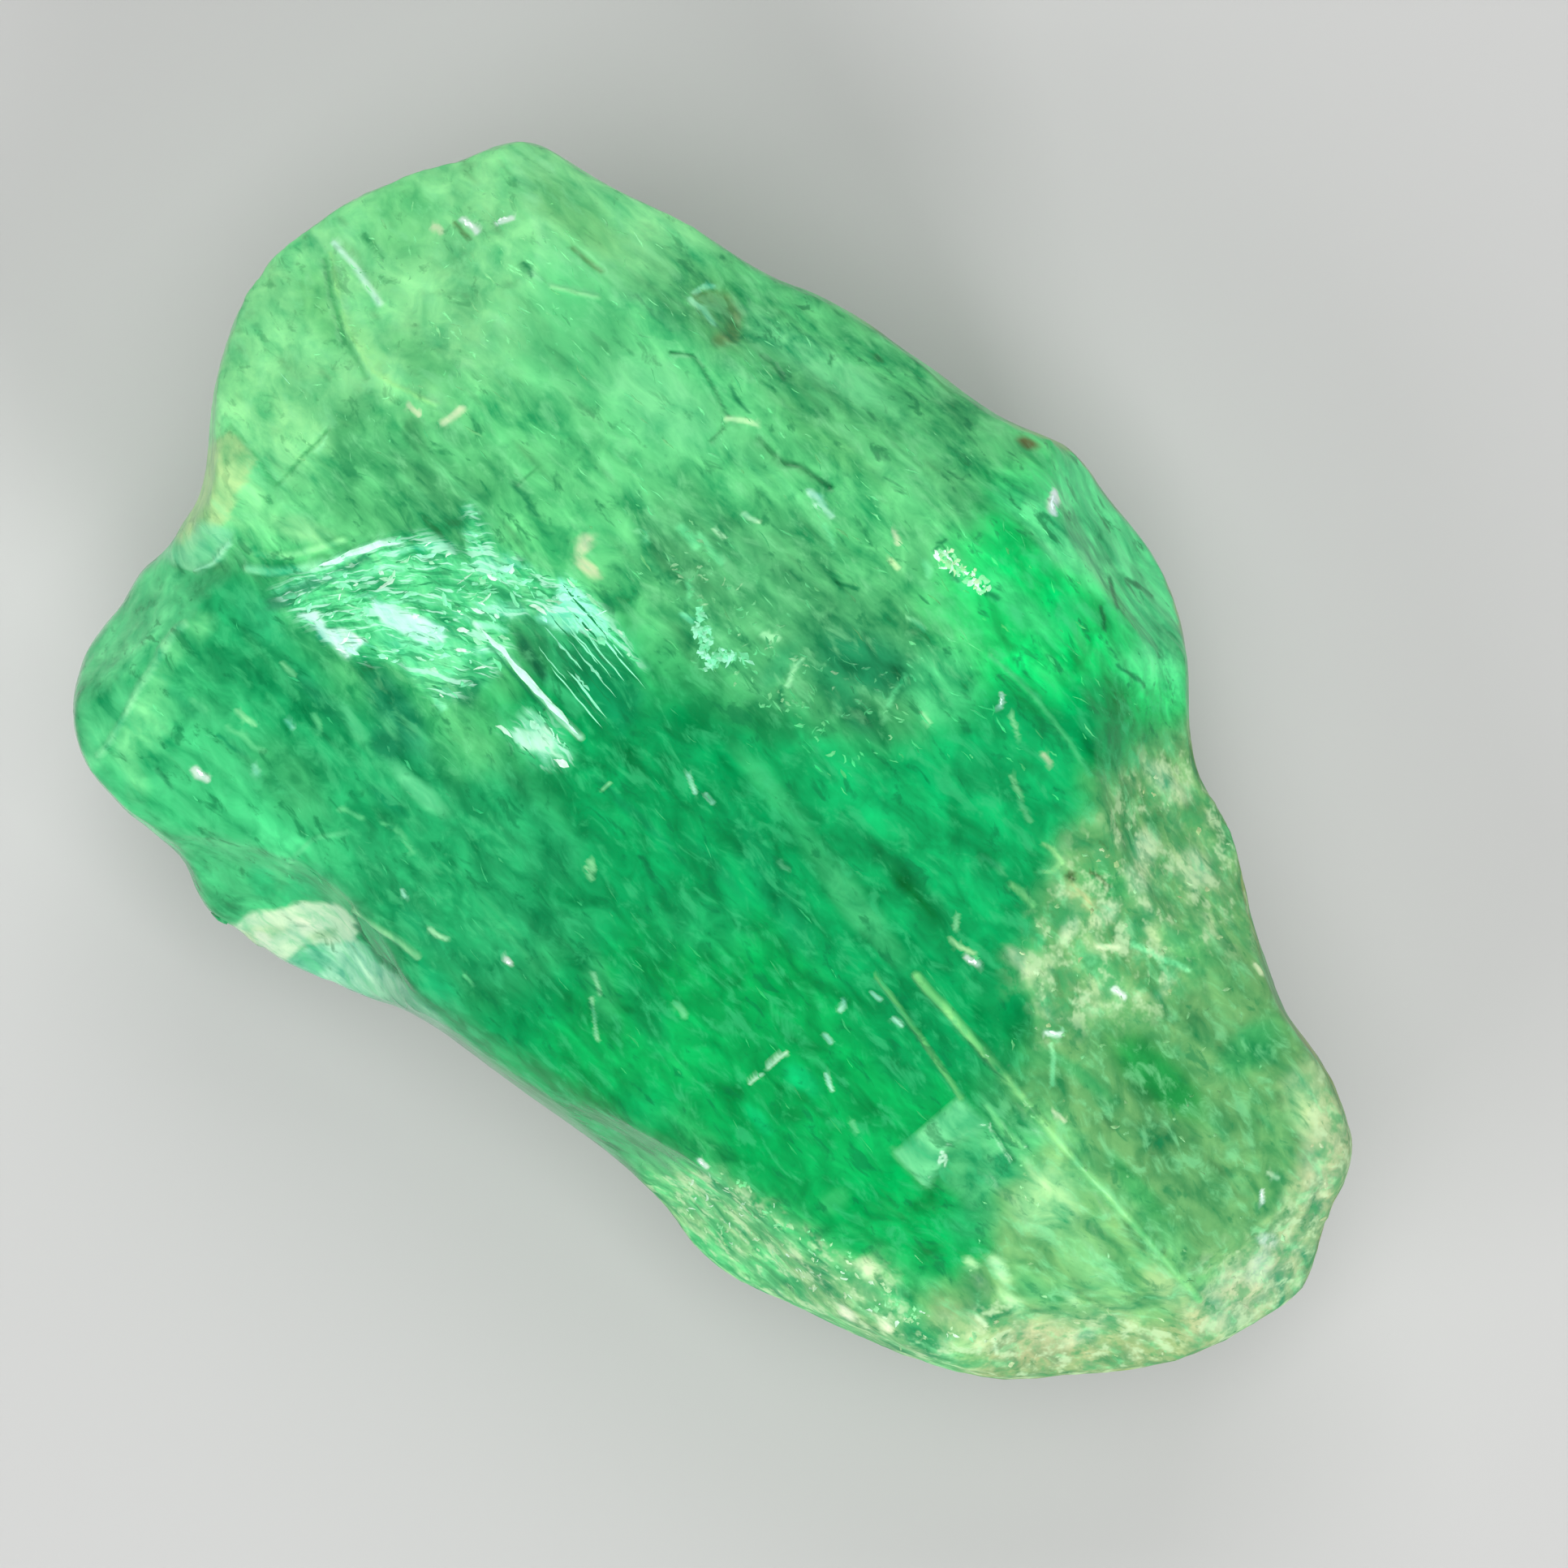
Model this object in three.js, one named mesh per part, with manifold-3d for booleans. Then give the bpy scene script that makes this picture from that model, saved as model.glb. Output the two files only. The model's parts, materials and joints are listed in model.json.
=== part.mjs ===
// A raw emerald crystal, one natural piece: a stubby beryl prism, broken at both ends, that lies on
// a flat prism face. Millimetres, +Z up, +X along the crystal's own long axis (its c axis).
// The origin is the middle of the bounding box, at the level of the rest face.
import * as THREE from "three";
import { ParametricGeometry } from "three/addons/geometries/ParametricGeometry.js";
import { mergeVertices } from "three/addons/utils/BufferGeometryUtils.js";
import Module from "manifold-3d";

// ---- Driving dimensions ----
const LENGTH = 24; // the crystal's extent along its c axis
const UPPER_BULGE = 5.6; // height of the uncut pebble above its girdle
const LOWER_BULGE = 6.6; // depth of the uncut pebble below its girdle
const UPPER_SHOULDER = 2.6; // how far the uncut pebble's side draws in above the girdle
const LOWER_SHOULDER = 3.6; // how far it draws in below the girdle
const SEGMENTS_ROUND = 132; // mesh steps round the girdle
const RINGS = 22; // mesh steps from the middle of the underside, over the girdle, to the top's middle
const BOWL_STEPS = 96; // mesh steps round one fracture bowl
const CUT_SPAN = 60; // side of the block that cuts one flat face

// The girdle seen from above, anticlockwise from the pointed end: each corner and hollow of the
// natural outline once, joined by one smooth closed curve.
const GIRDLE = [
  [11.9, 1.3], [11.3, 2.3], [10.9, 3.1], [9.9, 3.7], [8.3, 4.15], [6.9, 4.7], [5.3, 5.55],
  [4.4, 5.7], [3.7, 6.2], [2.7, 7.05], [1.3, 7.65], [0.1, 7.65], [-0.8, 7.75], [-1.8, 7.25],
  [-3.4, 6.9], [-5.2, 6.45], [-6.2, 6.0], [-7.6, 5.6], [-9.2, 4.95], [-10.4, 4.6],
  [-11.1, 3.6], [-11.7, 2.3], [-12.0, 0.9], [-11.7, -0.5], [-11.1, -1.8], [-10.2, -2.8],
  [-9.5, -3.9], [-9.35, -5.2], [-9.1, -6.5], [-8.3, -7.35], [-6.9, -7.65], [-5.4, -7.5],
  [-4.6, -7.65], [-3.7, -7.35], [-2.8, -7.3], [-1.2, -6.5], [0.6, -6.1], [3.1, -5.6],
  [5.1, -5.6], [6.4, -5.1], [8.2, -4.2], [9.5, -3.4], [10.7, -2.2], [11.5, -0.9], [11.8, 0.4],
];

// The girdle lies in one tilted plane, high on the +Y side and low at the pointed end.
const GIRDLE_PLANE = { at: [0, 0, 4.7], slope: [-0.05, 0.19] };

// Everything that growth and breakage took off the pebble. Each entry lists surfaces, and takes
// off what lies beyond all of them. A surface is given by a point on it and its rise along X and
// Y there. It is a flat face, or a bowl if it has a radius. A bowl's point is its deepest one.
const LOWER_PRISM_FACE = { at: [0.0, -0.3, 9.1], slope: [0.01, 0.44] };
const ABOVE = {
  upper_prism_face: [{ at: [-4.0, 3.0, 9.0], slope: [0.03, -0.1] }],
  upper_edge_face: [{ at: [-5.0, 5.0, 8.5], slope: [0.2, -0.73] }],
  upper_edge_pit: [{ at: [-6.0, 5.0, 8.16], slope: [0.2, -0.73], radius: 1.2 }],
  upper_edge_flake: [{ at: [1.0, 7.2, 6.6], slope: [-0.3, -1.6], radius: 9 }],
  shoulder_face: [{ at: [6.0, 4.4, 8.2], slope: [-0.3, -0.7] }],
  shoulder_bowl: [{ at: [5.6, 5.0, 7.0], slope: [-0.25, -0.8], radius: 7 }],
  point_upper_face: [{ at: [5.9, 0.2, 9.3], slope: [-0.36, -0.26] }],
  point_lower_face: [{ at: [5.9, -0.17, 9.3], slope: [-0.36, 0.5] }],
  point_tip_face: [{ at: [10.6, 0.4, 7.1], slope: [-1.1, -0.1] }],
  point_tip_flake: [{ at: [10.0, -2.3, 5.9], slope: [-0.75, 0.6], radius: 8 }],
  lower_face_beside_step: [LOWER_PRISM_FACE, { at: [-7.4, -1.9, 9.15], slope: [-0.51, 0.27] }],
  lower_face_below_notch: [LOWER_PRISM_FACE, { at: [-8.8, -3.5, 8.2], slope: [0.0, 1.6] }],
  lobe_bowl: [{ at: [-5.6, -4.4, 6.85], slope: [0.06, 0.28], radius: 14 }],
  lobe_end_face: [
    { at: [-8.6, -5.5, 6.2], slope: [1.6, 0.25] },
    { at: [-8.6, -3.9, 6.2], slope: [-0.2, 1.8] },
  ],
  lower_edge_face: [{ at: [2.0, -5.0, 7.0], slope: [-0.34, 1.7] }],
  lower_edge_flake: [{ at: [5.6, -5.3, 4.4], slope: [-0.1, 1.9], radius: 12 }],
  edge_chip: [{ at: [-2.7, -6.9, 4.5], slope: [0.1, 1.1], radius: 4.6 }],
  blunt_end_face: [{ at: [-9.0, 1.0, 8.7], slope: [0.5, 0.12] }],
  blunt_end_bowl: [{ at: [-9.75, 3.15, 8.22], slope: [0.5, 0.12], radius: 12.5 }],
};
const BELOW = {
  rest_face: [{ at: [0, 0, 0], slope: [0, 0] }],
  under_upper_edge: [{ at: [-2.0, 4.9, 0], slope: [-0.3, 1.3] }],
  under_shoulder: [{ at: [5.6, 3.4, 0], slope: [0.5, 0.95] }],
  under_point: [{ at: [7.8, 0, 0], slope: [0.85, 0.1] }],
  under_point_lower_edge: [{ at: [5.0, -3.7, 0], slope: [0.4, -1.0] }],
  under_lower_edge: [{ at: [0, -4.2, 0], slope: [-0.05, -1.2] }],
  under_lobe: [{ at: [-6.8, -5.2, 0], slope: [-0.9, -0.7] }],
  under_blunt_end: [{ at: [-8.6, 0, 0], slope: [-1.15, 0.2] }],
  under_point_bowl: [{ at: [9.2, -1.2, 2.1], slope: [0.9, 0.2], radius: 6 }],
  under_back_bowl: [{ at: [-6.0, 4.6, 2.2], slope: [-0.45, 1.7], radius: 12 }],
  under_tip_face: [{ at: [10.6, 1.6, 3.0], slope: [1.5, 0.9] }],
};

const EMERALD = new THREE.MeshStandardMaterial({
  name: "emerald",
  color: new THREE.Color(0.2, 0.7, 0.42),
  roughness: 0.3,
  metalness: 0,
});

// ---- Solids ----
const wasm = await Module();
wasm.setup();

// A closed three.js geometry as a solid, once its shared vertices are merged.
function solidFrom(geometry) {
  const bare = new THREE.BufferGeometry();
  bare.setAttribute("position", geometry.getAttribute("position"));
  bare.setIndex(geometry.getIndex());
  const merged = mergeVertices(bare, 1e-4);
  const corners = merged.getIndex().array;
  const triangles = [];
  for (let i = 0; i < corners.length; i += 3) {
    const [a, b, c] = corners.slice(i, i + 3);
    const hasArea = a !== b && b !== c && c !== a; // some triangles at the two poles have none
    if (hasArea) triangles.push(a, b, c);
  }
  const vertProperties = merged.getAttribute("position").array;
  const triVerts = Uint32Array.from(triangles);
  return new wasm.Manifold(new wasm.Mesh({ numProp: 3, vertProperties, triVerts }));
}

function geometryFrom(solid) {
  const { vertProperties, triVerts } = solid.getMesh();
  const geometry = new THREE.BufferGeometry();
  geometry.setAttribute("position", new THREE.BufferAttribute(vertProperties, 3));
  geometry.setIndex(new THREE.BufferAttribute(triVerts, 1));
  geometry.computeVertexNormals();
  return geometry;
}

// ---- The uncut pebble ----
const girdleCurve = new THREE.CatmullRomCurve3(
  GIRDLE.map(([x, y]) => new THREE.Vector3(x, y, 0)),
  true,
  "centripetal",
);

function planeHeight({ at, slope }, x, y) {
  return at[2] + slope[0] * (x - at[0]) + slope[1] * (y - at[1]);
}

// u runs round the girdle, and v from the middle of the underside (0) to the middle of the top
// (1). In between, the section of the side is a quarter ellipse below the girdle and one above.
function pebblePoint(u, v, target) {
  const rim = girdleCurve.getPointAt(u % 1);
  const ring = Math.round(v * RINGS);
  const atPole = ring === 0 || ring === RINGS;
  const angle = THREE.MathUtils.mapLinear(ring, 1, RINGS - 1, -Math.PI / 2, Math.PI / 2);
  const bound = THREE.MathUtils.clamp(angle, -Math.PI / 2, Math.PI / 2);
  const [bulge, width] = bound > 0 ? [UPPER_BULGE, UPPER_SHOULDER] : [LOWER_BULGE, LOWER_SHOULDER];
  const share = atPole ? 0 : 1 - (width * (1 - Math.cos(bound))) / Math.hypot(rim.x, rim.y);
  const x = rim.x * share;
  const y = rim.y * share;
  target.set(x, y, planeHeight(GIRDLE_PLANE, x, y) + bulge * Math.sin(bound));
}

// ---- The cuts ----
// What lies beyond one surface, upwards for side 1 and downwards for side -1.
function beyond({ at, slope, radius }, side) {
  const outward = new THREE.Vector3(-slope[0], -slope[1], 1).normalize().multiplyScalar(side);
  const solid = radius
    ? new THREE.SphereGeometry(radius, BOWL_STEPS, BOWL_STEPS / 2)
    : new THREE.BoxGeometry(CUT_SPAN, CUT_SPAN, CUT_SPAN);
  const centre = new THREE.Vector3(...at).addScaledVector(outward, radius ?? CUT_SPAN / 2);
  solid.applyQuaternion(new THREE.Quaternion().setFromUnitVectors(new THREE.Vector3(0, 0, 1), outward));
  return solidFrom(solid.translate(centre.x, centre.y, centre.z));
}

function cutsOn(list, side) {
  return Object.values(list).map((surfaces) =>
    surfaces.map((surface) => beyond(surface, side)).reduce((all, one) => all.intersect(one)),
  );
}

// Puts the origin under the middle of the bounding box, and makes the long side LENGTH exactly.
function settle(geometry) {
  geometry.computeBoundingBox();
  const { min, max } = geometry.boundingBox;
  geometry.translate(-(min.x + max.x) / 2, -(min.y + max.y) / 2, -min.z);
  const scale = LENGTH / (max.x - min.x);
  return geometry.scale(scale, scale, scale);
}

const pebble = solidFrom(new ParametricGeometry(pebblePoint, SEGMENTS_ROUND, RINGS));
const cuts = [...cutsOn(ABOVE, 1), ...cutsOn(BELOW, -1)];
const crystal = cuts.reduce((left, cut) => left.subtract(cut), pebble);

const emeraldCrystal = new THREE.Mesh(settle(geometryFrom(crystal)), EMERALD);
emeraldCrystal.name = "emerald_crystal";

const group = new THREE.Group();
group.add(emeraldCrystal);
export default group;
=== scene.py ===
"""Looks for a raw emerald crystal: its surface in fine detail, what is sealed in it, and a plain studio.

Shapes and places are worked out in millimetres, in the part's own frame, and turned to metres as
each mesh is made.
"""
import json

import bmesh
import bpy
import numpy as np
from mathutils import Matrix, Vector
from mathutils.bvhtree import BVHTree

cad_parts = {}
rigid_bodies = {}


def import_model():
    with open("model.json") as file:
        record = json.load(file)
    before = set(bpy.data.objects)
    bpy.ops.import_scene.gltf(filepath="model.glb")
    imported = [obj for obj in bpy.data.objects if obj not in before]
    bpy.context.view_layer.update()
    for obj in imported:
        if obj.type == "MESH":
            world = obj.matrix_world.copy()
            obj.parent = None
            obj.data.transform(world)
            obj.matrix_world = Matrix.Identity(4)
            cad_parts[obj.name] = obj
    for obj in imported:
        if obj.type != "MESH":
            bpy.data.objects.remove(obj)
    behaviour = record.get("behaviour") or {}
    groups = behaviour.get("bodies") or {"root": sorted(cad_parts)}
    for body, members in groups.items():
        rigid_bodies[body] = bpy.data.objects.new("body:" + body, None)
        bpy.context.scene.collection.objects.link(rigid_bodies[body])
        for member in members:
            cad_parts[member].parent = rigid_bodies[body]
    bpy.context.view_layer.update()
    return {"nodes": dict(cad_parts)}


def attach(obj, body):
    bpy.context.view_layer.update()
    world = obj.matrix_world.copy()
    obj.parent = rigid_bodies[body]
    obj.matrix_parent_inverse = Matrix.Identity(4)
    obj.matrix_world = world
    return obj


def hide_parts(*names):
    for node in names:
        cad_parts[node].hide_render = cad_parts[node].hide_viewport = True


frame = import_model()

MM = 0.001  # metres in a millimetre
NODE = "emerald_crystal"
SEED = 20
GIRDLE = 4.7  # height at which the outlines below are drawn, in millimetres
GIRDLE_SLOPE = (-0.05, 0.19)  # how the crystal's widest outline rises along X and Y
EYE = (0.09, 0.55, GIRDLE + 90)  # where the camera stands above the crystal, in millimetres


# ---- Noise and soft masks, on arrays of points in millimetres ----
def smooth(low, high, value):
    t = np.clip((value - low) / (high - low), 0, 1)
    return t * t * (3 - 2 * t)


def noise(points, seed):
    """Gradient noise, about -1 to 1, one value a point."""
    cell = np.floor(points).astype(np.int64)
    part = points - cell
    fade = part * part * part * (part * (part * 6 - 15) + 10)
    rng = np.random.default_rng(seed)
    arrows = rng.normal(size=(256, 3))
    arrows /= np.linalg.norm(arrows, axis=1)[:, None]
    shuffle = rng.permutation(256)
    total = np.zeros(len(points))
    for corner in np.ndindex(2, 2, 2):
        x, y, z = (cell + corner).T
        index = shuffle[(shuffle[(shuffle[x & 255] + y) & 255] + z) & 255]
        pull = ((part - corner) * arrows[index]).sum(1)
        weight = np.where(corner, fade, 1 - fade).prod(1)
        total += pull * weight
    return total * 1.6


def fractal(points, size, seed, octaves=4, gain=0.5):
    """Layered noise. size is its largest feature in millimetres, a number or one for each axis."""
    p = points / np.asarray(size, float)
    total, share, reach = np.zeros(len(points)), 1.0, 0.0
    for octave in range(octaves):
        total += share * noise(p * 2.0**octave, seed + octave)
        reach += share
        share *= gain
    return total / reach


def seen(points):
    """The points, with X and Y moved to where the camera sees them at the girdle's level."""
    nearer = (EYE[2] - GIRDLE) / (EYE[2] - points[:, 2])
    x, y = (EYE[axis] + (points[:, axis] - EYE[axis]) * nearer for axis in (0, 1))
    return np.column_stack([x, y, points[:, 2]])


def reach_to(points, route):
    """How far each point is from a route of straight stretches, seen from above."""
    x, y = points[:, 0], points[:, 1]
    nearest = np.full(len(points), 1e9)
    for (x0, y0), (x1, y1) in zip(route, route[1:]):
        ex, ey = x1 - x0, y1 - y0
        t = np.clip(((x - x0) * ex + (y - y0) * ey) / (ex * ex + ey * ey), 0, 1)
        nearest = np.minimum(nearest, np.hypot(x - x0 - t * ex, y - y0 - t * ey))
    return nearest


def within(points, outline):
    """True inside a closed outline, seen from above."""
    x, y = points[:, 0], points[:, 1]
    odd = np.zeros(len(points), bool)
    for (x0, y0), (x1, y1) in zip(outline, outline[1:] + outline[:1]):
        if y0 != y1:
            odd ^= ((y0 > y) != (y1 > y)) & (x < x0 + (y - y0) / (y1 - y0) * (x1 - x0))
    return odd


def region(points, outline, soft):
    """1 inside a closed outline seen from above, 0 outside, with an edge soft millimetres wide."""
    far = reach_to(points, outline + outline[:1])
    return smooth(-soft / 2, soft / 2, np.where(within(points, outline), far, -far))


def spot(points, centre, radii, turn):
    """A soft ellipse seen from above: its long radius is turned turn degrees from the X axis."""
    c, s = np.cos(np.radians(turn)), np.sin(np.radians(turn))
    x, y = points[:, 0] - centre[0], points[:, 1] - centre[1]
    r = np.hypot((x * c + y * s) / radii[0], (y * c - x * s) / radii[1])
    return smooth(1.35, 0.45, r)


# ---- Colours, as display values from 0 to 255 ----
def tone(colour):
    """The linear values that shaders take."""
    c = np.asarray(colour, float) / 255
    return np.where(c <= 0.04045, c / 12.92, ((c + 0.055) / 1.055) ** 2.4)


def over(base, colour, share):
    return base + (colour - base) * np.asarray(share)[:, None]


WHITE = (228, 252, 238)
CYAN = (168, 252, 214)
PALE = (140, 236, 165)
MIST = (105, 222, 148)
CREAM = (194, 228, 180)
TAN = (200, 205, 150)
DARK = (28, 140, 86)
DEEP = (8, 128, 74)
OLIVE = (92, 142, 84)
STAIN = (136, 146, 74)

# The crystal's regions from above, painted in this order: colour, width of the soft edge, outline.
REGIONS = {
    "blunt_end": (
        (134, 230, 152), 1.5,
        [(-7.2, 9), (-7.5, 4), (-7.9, 1.6), (-8.4, 0.3), (-8.9, -1.0), (-9.0, -3.6), (-9.2, -9),
            (-14, -9), (-14, 9)],
    ),
    "upper_left": ((98, 209, 132), 1.6,
        [(-9.0, 4.0), (-6.8, 4.4), (-4.4, 4.1), (-4.6, 2.6), (-6.8, 1.9), (-8.6, 2.4)]),
    "below_the_shell": (
        (74, 176, 108), 1.1,
        [(-9.2, -0.4), (-8.2, 0.4), (-6.4, 0.4), (-6.4, -0.8), (-7.3, -1.4), (-8.1, -2.4),
            (-9.1, -2.4)],
    ),
    "dull_middle": (
        (74, 174, 108), 1.3,
        [(-4.4, 1.2), (-4.2, 2.6), (-3.0, 3.6), (-0.6, 3.9), (0.5, 3.0), (0.8, 1.8), (-0.5, 1.0),
            (-2.5, 0.7)],
    ),
    "crest": ((0, 216, 108), 1.3, [(-1.4, 9), (-0.9, 5.4), (0.2, 4.2), (1.2, 3.4), (3.6, 3.8),
        (3.9, 9)]),
    "crest_rim": ((84, 226, 144), 1.2, [(-1.4, 9), (-0.8, 6.5), (1.6, 6.6), (3.0, 5.9), (4.4, 9)]),
    "window": (
        (2, 172, 94), 1.5,
        [
            (-3.6, 0.2), (-1.0, 1.0), (0.6, 2.2), (1.4, 4.0), (2.4, 5.4), (3.5, 5.2), (3.9, 3.4),
            (4.9, 2.3), (6.2, 1.0), (6.2, -0.6), (7.6, -1.6), (8.0, -3.0), (6.8, -3.8), (3.4, -4.4),
            (2.4, -9), (-1.6, -9), (-0.6, -4.0), (-2.4, -2.8), (-4.4, -1.9),
        ],
    ),
    "upper_window": ((2, 196, 110), 1.2,
        [(-0.4, 1.2), (0.8, 2.2), (1.6, 4.0), (3.0, 4.6), (3.9, 3.2), (4.8, 2.0), (4.2, 1.1),
        (1, 0.9)]),
    "bright_window": ((0, 180, 88), 1.3,
        [(1.6, -1.2), (5.8, -0.8), (8.0, -2.2), (7.6, -3.6), (3.4, -4.4), (0.6, -5.4), (0.4, -3)]),
    "lobe": (
        (36, 178, 108), 1.3,
        [
            (-8.4, -3.6), (-6, -3.5), (-4, -3.0), (-2.8, -2.4), (-1.4, -2.6), (-0.2, -3.6),
            (-0.4, -4.8), (-1.6, -9), (-12, -9), (-9.4, -4),
        ],
    ),
    "lobe_foot": ((66, 204, 128), 1.3,
        [(-8.6, -4.9), (-6, -5.5), (-4.4, -5.2), (-3.8, -6.0), (-4.2, -9), (-10, -9)]),
    "lobe_rim": (
        (98, 226, 148), 0.5,
        [(-10, -3.8), (-8.7, -4.2), (-8.5, -5.2), (-8.2, -6.4), (-7.6, -9), (-12, -9), (-12, -4)],
    ),
    "upper_haze": ((96, 164, 98), 0.8,
        [(3.6, 9), (3.6, 4.6), (4.1, 3.2), (4.7, 2.0), (5.9, 1.0), (6.2, 0.05), (14, 0), (14, 9)]),
    "lower_haze": (
        (106, 178, 106), 0.5,
        [(6.4, -0.05), (7.3, -0.4), (7.5, -1.0), (7.75, -2.2), (7.9, -3.3), (8.6, -3.8), (14, -4),
            (14, -0.05)],
    ),
}

# Where a thin pale crust clings: width of the soft edge, outline.
CRUSTS = {
    "upper_crust": (0.9, [(3.9, 9), (3.8, 4.7), (4.3, 3.2), (4.5, 2.4), (4.6, 1.3), (6.2, 1.0),
        (6.7, 2.2), (7.2, 3.2), (7.4, 9)]),
    "lower_crust": (
        0.45,
        [
            (2.6, -9), (3.6, -4.7), (4.6, -4.25), (5.4, -4.1), (6.4, -3.95), (6.9, -3.65),
            (8.2, -3.6), (8.6, -2.6), (9.4, -2.2), (10.1, -1.4), (10.9, -0.9), (14, -1), (14, -9),
        ],
    ),
    "tip_crust": (0.7, [(9.0, 9), (9.3, 3.5), (10.5, 2.7), (10.8, 1.6), (10.9, 0.2), (10.7, -0.7),
        (14, -2), (14, 9)]),
}

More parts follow.
